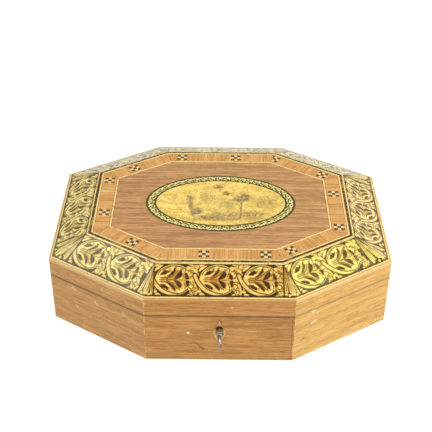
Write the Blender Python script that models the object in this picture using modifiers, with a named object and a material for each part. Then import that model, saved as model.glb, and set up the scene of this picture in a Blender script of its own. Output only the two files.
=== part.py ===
"""Octagonal writing box with a shallow hipped lid, butt hinges, a box lock and its key.

Frame: X runs along the box, the keyhole side faces -Y and Z is up.
The origin is the middle of the underside. All sizes are in metres.
"""

import math
from collections import namedtuple

import bmesh
import bpy
from mathutils import Matrix, Vector

# Plan of the box
BOX_LENGTH = 0.300
BOX_WIDTH = 0.245
FRONT_EDGE = 0.127
END_EDGE = 0.136

# Base
BASE_HEIGHT = 0.0494
WALL = 0.009
BOTTOM = 0.005

# Lid
LID_GAP = 0.0003
SKIRT_HEIGHT = 0.0173
SLOPE_RISE = 0.0145
SLOPE_RUN = 0.034
SLOPE_BOARD = 0.006
TOP_BOARD = 0.006
SEAT_DROP = 0.0048

# Veneers and inlaid lines
SEAM = 0.0003
GLUE = 0.0003
VENEER = 0.0009
EDGING_WIDTH = 0.0029
EDGING_DEPTH = 0.0026
STRING = 0.0016
RIDGE_LINE = 0.0018
RIDGE_OVERHANG = 0.0004
CROSSBAND = 0.0130
CHEQUER_RAIL = 0.0018
CHEQUER_PITCH = 0.0530

# Place of the first chequer on each strip of crossbanding, from the mitre at its start
CHEQUER_START = {
    "front": 0.0368,
    "front_right": 0.0123,
    "right": 0.0067,
    "back_right": 0.0096,
    "back": 0.0361,
    "back_left": 0.0391,
    "left": 0.0082,
    "front_left": 0.0345,
}

# Oval inlay on the lid
OVAL_MARGIN_X = 0.0284
OVAL_MARGIN_Y = 0.0246
OVAL_BORDER = 0.009
OVAL_POINTS = 80

# Keyhole and its kite-shaped escutcheon
KEY_DROP = 0.0141
KEYHOLE_RADIUS = 0.0030
KEYHOLE_SLOT = 0.0022
KEYHOLE_REACH = 0.0070
ESCUTCHEON = 0.0010
KITE_HALF_WIDTH = 0.0060
KITE_TOP = 0.0090
KITE_SHOULDER = -0.0043
KITE_BOTTOM = -0.0183

# Box lock
LOCK_COVER = 0.0026
LOCK_CASE_LENGTH = 0.038
LOCK_PLATE_LENGTH = 0.046
LOCK_HEIGHT = 0.0280
LOCK_PLATE = 0.0012
LOCK_SHEET = 0.0010
PLATE_LIP = 0.0018
LOCK_PIN = 0.0008
FIT = 0.0003
STAPLE_SPREAD = 0.0100
STAPLE_WIDTH = 0.0032
STAPLE_THICKNESS = 0.0016
STAPLE_DROP = 0.0052
STAPLE_CLEAR = 0.0005

# Key
KEY_LEAN = math.radians(-4)
KEY_SHANK = 0.0018
KEY_BORE = 0.00125
KEY_BORE_DEPTH = 0.0060
KEY_END_GAP = 0.0004
KEY_COLLAR = 0.0027
KEY_BIT_REACH = 0.0062
KEY_BIT = 0.0014
KEY_BIT_CLEAR = 0.0005
BOW_CENTRE = 0.0158
BOW_RADIUS = 0.0047
BOW_WIRE = 0.0011

# Butt hinges
HINGE_SPACING = 0.078
HINGE_LENGTH = 0.030
HINGE_INLAND = 0.0025
HINGE_SHEET = 0.0010
HINGE_OUT = 0.0006
KNUCKLE = 0.0018
KNUCKLES = 5
HINGE_PIN = 0.0008
PIN_CLEAR = 0.00006
KNUCKLE_GAP = 0.0003

# Facets of the round pieces, and how far a cutter runs past what it cuts
ROUND = 20
FINE_ROUND = 24
SPARE = 0.002
WELD = 1e-6

# Heights and pitch that follow from the sizes above
LID_Z = BASE_HEIGHT + LID_GAP
EAVE_Z = LID_Z + SKIRT_HEIGHT
TOP_Z = EAVE_Z + SLOPE_RISE
SEAT_Z = EAVE_Z - SEAT_DROP
EDGING_Z = EAVE_Z - EDGING_DEPTH
PITCH = math.atan2(SLOPE_RISE, SLOPE_RUN)
UPRIGHT = 1 / math.cos(PITCH)
UNDER_VENEER = (VENEER + GLUE) * UPRIGHT

# Insets of the lines around the lid, from the outer faces
RIDGE_OUT = SLOPE_RUN - RIDGE_OVERHANG
RIDGE_IN = RIDGE_OUT + RIDGE_LINE
SLOPE_STRING_IN = RIDGE_OUT - SEAM
SLOPE_STRING_OUT = SLOPE_STRING_IN - STRING
BAND_OUT = EDGING_WIDTH + SEAM
BAND_IN = SLOPE_STRING_OUT - SEAM
OUTER_STRING_OUT = RIDGE_IN + SEAM
CROSSBAND_OUT = OUTER_STRING_OUT + STRING + SEAM
INNER_STRING_OUT = CROSSBAND_OUT + CROSSBAND + SEAM
PANEL_INSET = INNER_STRING_OUT + STRING + SEAM
CHEQUER = CROSSBAND - 2 * CHEQUER_RAIL

# Places of the lock, the key and the hinges
FRONT_Y = -BOX_WIDTH / 2
BACK_Y = BOX_WIDTH / 2
LOCK_Y = FRONT_Y + WALL
LOCK_DEPTH = WALL - LOCK_COVER
KEY_Z = BASE_HEIGHT - KEY_DROP
HINGE_Y = BACK_Y + HINGE_OUT
HINGE_Z = BASE_HEIGHT + LID_GAP / 2

# The angle between the front edge and the diagonal beside it
DIAGONAL = math.atan2(BOX_WIDTH - END_EDGE, BOX_LENGTH - FRONT_EDGE)

# Colour, roughness and metallic value of each finish
FINISHES = {
    "side_veneer": ((0.52, 0.30, 0.13), 0.35, 0.0),
    "carcase": ((0.46, 0.31, 0.18), 0.60, 0.0),
    "penwork": ((0.62, 0.47, 0.17), 0.30, 0.0),
    "boxwood": ((0.78, 0.60, 0.30), 0.32, 0.0),
    "ebony": ((0.05, 0.04, 0.03), 0.35, 0.0),
    "crossbanding": ((0.60, 0.31, 0.12), 0.32, 0.0),
    "panel_veneer": ((0.42, 0.22, 0.11), 0.32, 0.0),
    "oval_border": ((0.35, 0.30, 0.12), 0.32, 0.0),
    "oval_picture": ((0.72, 0.55, 0.20), 0.32, 0.0),
    "bone": ((0.76, 0.66, 0.45), 0.38, 0.0),
    "brass": ((0.62, 0.45, 0.20), 0.40, 1.0),
    "steel": ((0.42, 0.41, 0.39), 0.38, 1.0),
}

SIDE_NAMES = ("front", "front_right", "right", "back_right", "back", "back_left", "left", "front_left")
Side = namedtuple("Side", "name middle angle half start_turn end_turn")

for old_object in list(bpy.data.objects):
    bpy.data.objects.remove(old_object, do_unlink=True)

PART = bpy.data.collections.new("writing_box")
CUTTERS = bpy.data.collections.new("writing_box_cutters")
bpy.context.scene.collection.children.link(PART)
bpy.context.scene.collection.children.link(CUTTERS)


# Plan geometry


def plan_corners(inset=0.0):
    """Corners of the octagon, anticlockwise from the front left, moved in from the outer faces."""
    x = BOX_LENGTH / 2 - inset
    y = BOX_WIDTH / 2 - inset
    front = FRONT_EDGE / 2 - inset * math.tan(DIAGONAL / 2)
    end = END_EDGE / 2 - inset * math.tan((math.pi / 2 - DIAGONAL) / 2)
    right_hand = [(front, -y), (x, -end), (x, end), (front, y)]
    left_hand = [(-px, py) for px, py in reversed(right_hand)]
    return [left_hand[-1]] + right_hand + left_hand[:-1]


def plan_sides():
    """The eight sides: middle, direction, half length and the turn at each end."""
    corners = [Vector(corner) for corner in plan_corners()]
    runs = [corners[(i + 1) % 8] - corners[i] for i in range(8)]
    angles = [math.atan2(run.y, run.x) for run in runs]
    sides = []
    for i, name in enumerate(SIDE_NAMES):
        start_turn = (angles[i] - angles[i - 1]) % math.tau
        end_turn = (angles[(i + 1) % 8] - angles[i]) % math.tau
        middle = (corners[i] + corners[(i + 1) % 8]) / 2
        sides.append(Side(name, middle, angles[i], runs[i].length / 2, start_turn, end_turn))
    return sides


def slope_z(inset):
    """Height of the lid's sloping face above the point at this inset."""
    return EAVE_Z + inset * SLOPE_RISE / SLOPE_RUN


def oval(half_x, half_y):
    """Points of an ellipse."""
    turns = [math.tau * step / OVAL_POINTS for step in range(OVAL_POINTS)]
    return [(half_x * math.cos(turn), half_y * math.sin(turn)) for turn in turns]


def kite(grow=0.0):
    """Outline of the escutcheon around the key's axis, grown by a clearance."""
    top_angle = math.atan2(KITE_HALF_WIDTH, KITE_TOP - KITE_SHOULDER)
    bottom_angle = math.atan2(KITE_HALF_WIDTH, KITE_SHOULDER - KITE_BOTTOM)
    side_angle = (math.pi - top_angle - bottom_angle) / 2
    wide = KITE_HALF_WIDTH + grow / math.sin(side_angle)
    top = KITE_TOP + grow / math.sin(top_angle)
    bottom = KITE_BOTTOM - grow / math.sin(bottom_angle)
    return [(0, bottom), (wide, KITE_SHOULDER), (0, top), (-wide, KITE_SHOULDER)]


# Making and placing


def finish(obj, kind):
    """Give the object a material of its own."""
    colour, roughness, metallic = FINISHES[kind]
    material = bpy.data.materials.new(obj.name)
    material.use_nodes = True
    shader = material.node_tree.nodes["Principled BSDF"]
    shader.inputs["Base Color"].default_value = (*colour, 1.0)
    shader.inputs["Roughness"].default_value = roughness
    shader.inputs["Metallic"].default_value = metallic
    material.diffuse_color = (*colour, 1.0)
    obj.data.materials.clear()
    obj.data.materials.append(material)


def place(obj, location, rotation=(0, 0, 0), parent=None):
    """Put an object at a place in the box's frame, also under a parent."""
    obj.parent = parent
    obj.location = Vector(location) - (parent.location if parent else Vector())
    obj.rotation_euler = rotation


def new_piece(name, mesh, kind, location=(0, 0, 0), rotation=(0, 0, 0), parent=None):
    """A piece of the box in its own finish."""
    mesh.name = name
    obj = bpy.data.objects.new(name, mesh)
    PART.objects.link(obj)
    place(obj, location, rotation, parent)
    finish(obj, kind)
    return obj


def new_cutter(name, mesh, location=(0, 0, 0), rotation=(0, 0, 0), parent=None):
    """A shape that only cuts or joins others."""
    mesh.name = name
    obj = bpy.data.objects.new(name, mesh)
    CUTTERS.objects.link(obj)
    place(obj, location, rotation, parent)
    obj.display_type = "WIRE"
    obj.hide_render = True
    return obj


def combine(target, tool, operation):
    """Cut the tool out of the target, or join it on."""
    boolean = target.modifiers.new(f"{operation.lower()} {tool.name}", "BOOLEAN")
    boolean.operation = operation
    boolean.object = tool
    boolean.solver = "EXACT"


def saw(bm, point, normal):
    """Saw off what lies beyond a plane and close the cut."""
    everything = bm.verts[:] + bm.edges[:] + bm.faces[:]
    cut = bmesh.ops.bisect_plane(
        bm, geom=everything, dist=WELD / 10, plane_co=point, plane_no=normal, clear_outer=True
    )
    rim = [item for item in cut["geom_cut"] if isinstance(item, bmesh.types.BMEdge)]
    bmesh.ops.edgeloop_fill(bm, edges=rim)


def box_mesh(low, high):
    """A box between two corners, centred on its own origin."""
    bm = bmesh.new()
    bmesh.ops.create_cube(bm, size=1.0)
    bmesh.ops.scale(bm, vec=Vector(high) - Vector(low), verts=bm.verts)
    mesh = bpy.data.meshes.new("box")
    bm.to_mesh(mesh)
    bm.free()
    return mesh


def box_tool(name, low, high, parent=None):
    """A box-shaped cutter between two corners."""
    middle = (Vector(low) + Vector(high)) / 2
    return new_cutter(name, box_mesh(low, high), middle, parent=parent)


def rod_mesh(radius, length, facets):
    """A cylinder along its own Z, centred on its origin."""
    bm = bmesh.new()
    bmesh.ops.create_cone(
        bm, cap_ends=True, segments=facets, radius1=radius, radius2=radius, depth=length
    )
    mesh = bpy.data.meshes.new("rod")
    bm.to_mesh(mesh)
    bm.free()
    return mesh


def plate_mesh(outlines, thickness):
    """A flat plate in the XY plane: the first outline is its rim and the others are holes."""
    drawing = bpy.data.curves.new("outline", "CURVE")
    drawing.dimensions = "2D"
    drawing.fill_mode = "BOTH"
    drawing.extrude = thickness / 2
    for outline in outlines:
        spline = drawing.splines.new("POLY")
        spline.points.add(len(outline) - 1)
        for point, (x, y) in zip(spline.points, outline):
            point.co = (x, y, 0, 1)
        spline.use_cyclic_u = True
    drawn = bpy.data.objects.new("outline", drawing)
    PART.objects.link(drawn)
    bpy.context.view_layer.update()
    mesh = bpy.data.meshes.new_from_object(drawn.evaluated_get(bpy.context.evaluated_depsgraph_get()))
    bpy.data.objects.remove(drawn, do_unlink=True)
    bm = bmesh.new()
    bm.from_mesh(mesh)
    bmesh.ops.remove_doubles(bm, verts=bm.verts, dist=WELD)
    bmesh.ops.recalc_face_normals(bm, faces=bm.faces)
    bm.to_mesh(mesh)
    bm.free()
    return mesh


def mitred_board(name, side, section, kind, parent=None):
    """A board of a given section, (inset, height) points, mitred against its two neighbours."""
    mesh = plate_mesh([section], 2 * side.half)
    # The section's plane becomes (inward, up), and its thickness runs along the side
    mesh.transform(Matrix(((0, 0, 1, 0), (1, 0, 0, 0), (0, 1, 0, 0), (0, 0, 0, 1))))
    bm = bmesh.new()
    bm.from_mesh(mesh)
    for end, turn in ((-1, side.start_turn), (1, side.end_turn)):
        normal = Vector((end * math.cos(turn / 2), math.sin(turn / 2), 0))
        saw(bm, Vector((end * side.half, 0, 0)) - normal * SEAM / 2, normal)
    bmesh.ops.recalc_face_normals(bm, faces=bm.faces)
    bm.to_mesh(mesh)
    bm.free()
    return new_piece(name, mesh, kind, (*side.middle, 0), (0, 0, side.angle), parent)


def mitred_ring(name, section, kind, parent):
    """A line of a given section, (inset, height) points, carried round all eight sides."""
    bm = bmesh.new()
    rounds = [[bm.verts.new((*corner, height)) for corner in plan_corners(inset)] for inset, height in section]
    for lower, upper in zip(rounds, rounds[1:] + rounds[:1]):
        for i in range(8):
            bm.faces.new((lower[i], lower[(i + 1) % 8], upper[(i + 1) % 8], upper[i]))
    bmesh.ops.recalc_face_normals(bm, faces=bm.faces)
    mesh = bpy.data.meshes.new(name)
    bm.to_mesh(mesh)
    bm.free()
    mesh.transform(Matrix.Translation(-parent.location))
    return new_piece(name, mesh, kind, parent.location, parent=parent)


def flat_plate(name, outlines, bottom, thickness, kind, parent=None):
    """A level plate with its underside at a given height."""
    mesh = plate_mesh(outlines, thickness)
    return new_piece(name, mesh, kind, (0, 0, bottom + thickness / 2), parent=parent)


def flat_section(inset_from, inset_to, low, high):
    """A rectangular section."""
    return [(inset_from, low), (inset_to, low), (inset_to, high), (inset_from, high)]


# Base


def base(sides):
    """Eight mitred walls around a bottom board; returns the walls by the name of their side."""
    walls = {}
    for side in sides:
        section = flat_section(0, WALL, 0, BASE_HEIGHT)
        walls[side.name] = mitred_board(f"base_wall_{side.name}", side, section, "side_veneer")
    flat_plate("base_bottom", [plan_corners(WALL + SEAM)], 0, BOTTOM, "carcase")
    return walls


# Lid


def lid_skirt(sides, pivot):
    """The eight upright boards of the lid, by the name of their side."""
    section = flat_section(0, WALL, LID_Z, SEAT_Z - SEAM)
    return {
        side.name: mitred_board(f"lid_skirt_{side.name}", side, section, "side_veneer", pivot)
        for side in sides
    }


def lid_slopes(sides, pivot):
    """The eight sloping boards, seated on the skirt and rebated for the eave edging."""
    low = -UNDER_VENEER - SLOPE_BOARD * UPRIGHT
    toe = (SEAT_Z - EAVE_Z - low) * SLOPE_RUN / SLOPE_RISE
    section = [
        (0, SEAT_Z),
        (toe, SEAT_Z),
        (SLOPE_RUN, TOP_Z + low),
        (SLOPE_RUN, TOP_Z - UNDER_VENEER),
        (BAND_OUT, slope_z(BAND_OUT) - UNDER_VENEER),
        (BAND_OUT, EDGING_Z - SEAM),
        (0, EDGING_Z - SEAM),
    ]
    for side in sides:
        mitred_board(f"lid_slope_{side.name}", side, section, "carcase", pivot)


def scroll_bands(sides, pivot):
    """The eight decorated veneers on the slopes."""
    depth = VENEER * UPRIGHT
    section = [
        (BAND_OUT, slope_z(BAND_OUT) - depth),
        (BAND_IN, slope_z(BAND_IN) - depth),
        (BAND_IN, slope_z(BAND_IN)),
        (BAND_OUT, slope_z(BAND_OUT)),
    ]
    for side in sides:
        mitred_board(f"scroll_band_{side.name}", side, section, "penwork", pivot)


def lines_round_the_lid(pivot):
    """The edging at the eave, the black line at the ridge and the light strings beside it."""
    edging = [(0, EDGING_Z), (EDGING_WIDTH, EDGING_Z), (EDGING_WIDTH, slope_z(EDGING_WIDTH)), (0, EAVE_Z)]
    mitred_ring("eave_edging", edging, "boxwood", pivot)
    depth = VENEER * UPRIGHT
    slope_string = [
        (SLOPE_STRING_OUT, slope_z(SLOPE_STRING_OUT) - depth),
        (SLOPE_STRING_IN, slope_z(SLOPE_STRING_IN) - depth),
        (SLOPE_STRING_IN, slope_z(SLOPE_STRING_IN)),
        (SLOPE_STRING_OUT, slope_z(SLOPE_STRING_OUT)),
    ]
    mitred_ring("slope_string", slope_string, "boxwood", pivot)
    ridge = [
        (RIDGE_OUT, TOP_Z - VENEER),
        (RIDGE_IN, TOP_Z - VENEER),
        (RIDGE_IN, TOP_Z),
        (SLOPE_RUN, TOP_Z),
        (RIDGE_OUT, slope_z(RIDGE_OUT)),
    ]
    mitred_ring("ridge_line", ridge, "ebony", pivot)
    for name, inset in (("outer_string", OUTER_STRING_OUT), ("inner_string", INNER_STRING_OUT)):
        section = flat_section(inset, inset + STRING, TOP_Z - VENEER, TOP_Z)
        mitred_ring(name, section, "boxwood", pivot)


def chequer_places(side):
    """Where the chequers fall on one strip of crossbanding, from the middle of the side."""
    middle_inset = CROSSBAND_OUT + CROSSBAND / 2
    start_mitre = -side.half + middle_inset * math.tan(side.start_turn / 2)
    end_mitre = side.half - middle_inset * math.tan(side.end_turn / 2)
    places = []
    place_along = start_mitre + CHEQUER_START[side.name]
    while place_along <= end_mitre - CHEQUER / 4:
        places.append(place_along)
        place_along += CHEQUER_PITCH
    return places


def crossbands(sides, pivot):
    """The eight strips of crossbanding, with a square window for each chequer."""
    section = flat_section(CROSSBAND_OUT, CROSSBAND_OUT + CROSSBAND, TOP_Z - VENEER, TOP_Z)
    for side in sides:
        strip = mitred_board(f"crossband_{side.name}", side, section, "crossbanding", pivot)
        along = Vector((math.cos(side.angle), math.sin(side.angle), 0))
        inward = Vector((-along.y, along.x, 0))
        strip_middle = side.middle.to_3d() + inward * (CROSSBAND_OUT + CROSSBAND / 2)
        for number, place_along in enumerate(chequer_places(side), 1):
            centre = strip_middle + along * place_along + Vector((0, 0, TOP_Z))
            window = box_mesh((0, 0, 0), (CHEQUER, CHEQUER, 2 * SPARE))
            name = f"window_{side.name}_{number}"
            tool = new_cutter(name, window, centre, (0, 0, side.angle), pivot)
            combine(strip, tool, "DIFFERENCE")


def lid_top(pivot):
    """The flat board, the centre panel and the oval let into it."""
    board_bottom = TOP_Z - VENEER - GLUE - TOP_BOARD
    flat_plate("lid_top_board", [plan_corners(SLOPE_RUN + SEAM)], board_bottom, TOP_BOARD, "carcase", pivot)
    oval_x = BOX_LENGTH / 2 - PANEL_INSET - OVAL_MARGIN_X
    oval_y = BOX_WIDTH / 2 - PANEL_INSET - OVAL_MARGIN_Y
    opening = oval(oval_x + SEAM, oval_y + SEAM)
    veneer_bottom = TOP_Z - VENEER
    panel = [plan_corners(PANEL_INSET), opening]
    flat_plate("centre_panel", panel, veneer_bottom, VENEER, "panel_veneer", pivot)
    border = [oval(oval_x, oval_y), oval(oval_x - OVAL_BORDER, oval_y - OVAL_BORDER)]
    flat_plate("oval_border", border, veneer_bottom, VENEER, "oval_border", pivot)
    inner = OVAL_BORDER + SEAM
    picture = [oval(oval_x - inner, oval_y - inner)]
    flat_plate("oval_picture", picture, veneer_bottom, VENEER, "oval_picture", pivot)


# Lock, escutcheon and key


def keyhole_tools(tag, y_from, y_to):
    """A round hole with a slot below it, cut along Y between two places."""
    hole = rod_mesh(KEYHOLE_RADIUS, y_to - y_from, ROUND)
    middle = (0, (y_from + y_to) / 2, KEY_Z)
    round_tool = new_cutter(f"{tag}_keyhole_round", hole, middle, (math.pi / 2, 0, 0))
    slot_low = (-KEYHOLE_SLOT / 2, y_from, KEY_Z - KEYHOLE_REACH)
    slot_high = (KEYHOLE_SLOT / 2, y_to, KEY_Z)
    return round_tool, box_tool(f"{tag}_keyhole_slot", slot_low, slot_high)


def escutcheon(front_wall):
    """The kite let into the front wall, with the keyhole through both."""
    kite_turn = (math.pi / 2, 0, 0)
    plate = new_piece(
        "escutcheon", plate_mesh([kite()], ESCUTCHEON), "bone", (0, FRONT_Y + ESCUTCHEON / 2, KEY_Z), kite_turn
    )
    recess_depth = ESCUTCHEON + GLUE + SPARE
    recess_y = FRONT_Y + ESCUTCHEON + GLUE - recess_depth / 2
    recess = plate_mesh([kite(SEAM)], recess_depth)
    combine(front_wall, new_cutter("escutcheon_recess", recess, (0, recess_y, KEY_Z), kite_turn), "DIFFERENCE")
    for tool in keyhole_tools("escutcheon", FRONT_Y - SPARE, FRONT_Y + ESCUTCHEON + GLUE / 2):
        combine(plate, tool, "DIFFERENCE")
    for tool in keyhole_tools("wall", FRONT_Y - SPARE, LOCK_Y):
        combine(front_wall, tool, "DIFFERENCE")


def lock_pocket(front_wall):
    """The mortise for the lock, open to the inside and to the top edge."""
    plate_half = LOCK_PLATE_LENGTH / 2 + FIT
    case_half = LOCK_CASE_LENGTH / 2 + FIT
    case_bottom = BASE_HEIGHT - LOCK_HEIGHT - FIT
    deep = LOCK_Y - LOCK_DEPTH - FIT
    inside = LOCK_Y + SPARE
    above = BASE_HEIGHT + SPARE
    pockets = {
        "lock_case_pocket": ((-case_half, deep, case_bottom), (case_half, inside, above)),
        "lock_plate_pocket": (
            (-plate_half, LOCK_Y - LOCK_PLATE - FIT, case_bottom - PLATE_LIP),
            (plate_half, inside, above),
        ),
        "lock_top_pocket": ((-plate_half, deep, BASE_HEIGHT - LOCK_PLATE - FIT), (plate_half, inside, above)),
    }
    for name, (low, high) in pockets.items():
        combine(front_wall, box_tool(name, low, high), "DIFFERENCE")


def staple_box(end, grow, low_z, high_z):
    """One staple's box, or its slot when grown."""
    half_width = STAPLE_WIDTH / 2 + grow
    half_thick = STAPLE_THICKNESS / 2 + grow
    middle_y = LOCK_Y - LOCK_PLATE - (LOCK_DEPTH - LOCK_PLATE - LOCK_SHEET) / 2
    x = end * STAPLE_SPREAD
    low = (x - half_width, middle_y - half_thick, low_z)
    return low, (x + half_width, middle_y + half_thick, high_z)


def lock():
    """A hollow brass case behind a larger plate, with a drill pin, a keyhole and two staple slots."""
    case_half = LOCK_CASE_LENGTH / 2
    plate_half = LOCK_PLATE_LENGTH / 2
    bottom = BASE_HEIGHT - LOCK_HEIGHT
    front = LOCK_Y - LOCK_DEPTH
    case_low = Vector((-case_half, front, bottom))
    case_high = Vector((case_half, LOCK_Y, BASE_HEIGHT))
    case = new_piece("lock", box_mesh(case_low, case_high), "brass", (case_low + case_high) / 2)
    joined = {
        "lock_plate": ((-plate_half, LOCK_Y - LOCK_PLATE, bottom - PLATE_LIP), (plate_half, LOCK_Y, BASE_HEIGHT)),
        "lock_top": ((-plate_half, front, BASE_HEIGHT - LOCK_PLATE), (plate_half, LOCK_Y, BASE_HEIGHT)),
    }
    for name, (low, high) in joined.items():
        combine(case, box_tool(name, low, high), "UNION")
    hollow_low = (-case_half + LOCK_SHEET, front + LOCK_SHEET, bottom + LOCK_SHEET)
    hollow_high = (case_half - LOCK_SHEET, LOCK_Y - LOCK_PLATE, BASE_HEIGHT - LOCK_PLATE)
    combine(case, box_tool("lock_hollow", hollow_low, hollow_high), "DIFFERENCE")
    for tool in keyhole_tools("lock", front - SPARE, front + LOCK_SHEET + LOCK_SHEET / 2):
        combine(case, tool, "DIFFERENCE")
    pin_from = front + LOCK_SHEET
    pin_to = LOCK_Y - LOCK_PLATE / 2
    pin = new_cutter(
        "drill_pin",
        rod_mesh(LOCK_PIN, pin_to - pin_from, ROUND),
        (0, (pin_from + pin_to) / 2, KEY_Z),
        (math.pi / 2, 0, 0),
    )
    combine(case, pin, "UNION")
    for end in (-1, 1):
        low, high = staple_box(end, STAPLE_CLEAR, BASE_HEIGHT - 2 * LOCK_PLATE, BASE_HEIGHT + SPARE)
        combine(case, box_tool(f"staple_slot_{end + 2}", low, high), "DIFFERENCE")


def link_plate(front_skirt, pivot):
    """The plate under the lid's front board, with two staples that drop into the lock."""
    half = LOCK_PLATE_LENGTH / 2
    front = LOCK_Y - LOCK_DEPTH
    low = Vector((-half, front, LID_Z))
    high = Vector((half, LOCK_Y, LID_Z + LOCK_PLATE))
    plate = new_piece("link_plate", box_mesh(low, high), "brass", (low + high) / 2, parent=pivot)
    for end in (-1, 1):
        staple_low, staple_high = staple_box(end, 0, LID_Z - STAPLE_DROP, LID_Z + LOCK_PLATE / 2)
        combine(plate, box_tool(f"staple_{end + 2}", staple_low, staple_high, pivot), "UNION")
    pocket_low = low - Vector((FIT, FIT, SPARE))
    pocket_high = high + Vector((FIT, SPARE, FIT))
    combine(front_skirt, box_tool("link_plate_pocket", pocket_low, pocket_high, pivot), "DIFFERENCE")


def bead(z_from, z_to, inner, outer):
    """Profile points of a rounded collar between two heights, from the upper to the lower."""
    steps = 6
    points = []
    for step in range(steps + 1):
        turn = math.pi * step / steps
        height = (z_from + z_to) / 2 + (z_to - z_from) / 2 * math.cos(turn)
        points.append((inner + (outer - inner) * math.sin(turn), height))
    return points


def key():
    """A pipe key: turned shank with collars, a ring bow and a plain bit, made as one."""
    tip = -(WALL - LOCK_PLATE - KEY_END_GAP)
    bow_start = BOW_CENTRE - BOW_RADIUS
    collar_width = 1.1 * KEY_SHANK
    neck = 0.75 * KEY_SHANK
    profile = [(0, bow_start), (neck, bow_start)]
    profile += bead(bow_start - 1.9 * collar_width, bow_start - 0.9 * collar_width, neck, 0.9 * KEY_COLLAR)
    profile += bead(bow_start - 3.1 * collar_width, bow_start - 2.1 * collar_width, KEY_SHANK, KEY_COLLAR)
    profile += [(KEY_SHANK, tip), (KEY_BORE, tip), (KEY_BORE, tip + KEY_BORE_DEPTH), (0, tip + KEY_BORE_DEPTH)]
    mesh = bpy.data.meshes.new("key")
    mesh.from_pydata([(x, 0, z) for x, z in profile], [(i, i + 1) for i in range(len(profile) - 1)], [])
    turned = new_piece("key", mesh, "steel", (0, FRONT_Y, KEY_Z), (math.pi / 2, KEY_LEAN, 0))
    screw = turned.modifiers.new("turned", "SCREW")
    screw.steps = FINE_ROUND
    screw.render_steps = FINE_ROUND
    screw.use_merge_vertices = True
    screw.merge_threshold = WELD
    screw.use_smooth_shade = False

    bm = bmesh.new()
    bmesh.ops.create_circle(bm, cap_ends=False, segments=10, radius=BOW_WIRE)
    bmesh.ops.translate(bm, vec=(BOW_RADIUS, 0, 0), verts=bm.verts)
    bmesh.ops.rotate(bm, cent=(0, 0, 0), matrix=Matrix.Rotation(math.pi / 2, 3, "X"), verts=bm.verts)
    bmesh.ops.spin(
        bm, geom=bm.edges[:], cent=(0, 0, 0), axis=(0, 0, 1), angle=math.tau, steps=FINE_ROUND, use_merge=True
    )
    bmesh.ops.remove_doubles(bm, verts=bm.verts, dist=WELD)
    bmesh.ops.recalc_face_normals(bm, faces=bm.faces)
    bow_mesh = bpy.data.meshes.new("bow")
    bm.to_mesh(bow_mesh)
    bm.free()
    # The ring is turned edge-on to the front and set at the end of the shank
    bow_mesh.transform(Matrix.Rotation(math.pi / 2, 4, "Y"))
    bow_mesh.transform(Matrix.Translation((0, 0, BOW_CENTRE)))
    bow = new_cutter("key_bow", bow_mesh, turned.location, turned.rotation_euler)
    combine(turned, bow, "UNION")

    bit_from = -(WALL - LOCK_PLATE - KEY_BIT_CLEAR)
    bit_to = -(LOCK_COVER + LOCK_SHEET + KEY_BIT_CLEAR)
    bit_low = Vector((-KEY_BIT / 2, -KEY_BIT_REACH, bit_from))
    bit_high = Vector((KEY_BIT / 2, -(KEY_BORE + KEY_SHANK) / 2, bit_to))
    bit_mesh = box_mesh(bit_low, bit_high)
    bit_mesh.transform(Matrix.Translation((bit_low + bit_high) / 2))
    bit = new_cutter("key_bit", bit_mesh, turned.location, turned.rotation_euler)
    combine(turned, bit, "UNION")


# Hinges


def hinge_notches(target, tag, centre_x, low_z, high_z, knuckle_low, knuckle_high, parent=None):
    """Let one hinge's leaf and half its knuckles into a board's edge."""
    half = HINGE_LENGTH / 2 + FIT
    outside = BACK_Y + SPARE
    leaf_from = BACK_Y - (WALL - HINGE_INLAND) - FIT
    knuckle_from = HINGE_Y - KNUCKLE - FIT
    leaf_tool = box_tool(f"{tag}_leaf", (centre_x - half, leaf_from, low_z), (centre_x + half, outside, high_z), parent)
    combine(target, leaf_tool, "DIFFERENCE")
    knuckle_tool = box_tool(
        f"{tag}_knuckles",
        (centre_x - half, knuckle_from, knuckle_low),
        (centre_x + half, outside, knuckle_high),
        parent,
    )
    combine(target, knuckle_tool, "DIFFERENCE")


def hinge_leaf(name, centre_x, low_z, own, parent=None):
    """One leaf: a plate let into the edge of a board, rolled into every second knuckle."""
    pitch = HINGE_LENGTH / KNUCKLES
    start = centre_x - HINGE_LENGTH / 2
    low = Vector((start, BACK_Y - (WALL - HINGE_INLAND), low_z))
    high = Vector((start + HINGE_LENGTH, HINGE_Y, low_z + HINGE_SHEET))
    leaf = new_piece(name, box_mesh(low, high), "brass", (low + high) / 2, parent=parent)
    for number in range(KNUCKLES):
        from_x = start + number * pitch
        if number % 2 == own:
            knuckle_length = pitch - KNUCKLE_GAP
            knuckle = new_cutter(
                f"{name}_knuckle_{number + 1}",
                rod_mesh(KNUCKLE, knuckle_length, ROUND),
                (from_x + pitch / 2, HINGE_Y, HINGE_Z),
                (0, math.pi / 2, 0),
                parent,
            )
            combine(leaf, knuckle, "UNION")
        else:
            gap_low = (from_x - KNUCKLE_GAP / 2, HINGE_Y - KNUCKLE - KNUCKLE_GAP, HINGE_Z - SPARE)
            gap_high = (from_x + pitch + KNUCKLE_GAP / 2, HINGE_Y + SPARE, HINGE_Z + SPARE)
            combine(leaf, box_tool(f"{name}_gap_{number + 1}", gap_low, gap_high, parent), "DIFFERENCE")
    bore = new_cutter(
        f"{name}_bore",
        rod_mesh(HINGE_PIN + PIN_CLEAR, HINGE_LENGTH + 2 * SPARE, ROUND),
        (centre_x, HINGE_Y, HINGE_Z),
        (0, math.pi / 2, 0),
        parent,
    )
    combine(leaf, bore, "DIFFERENCE")


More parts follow.
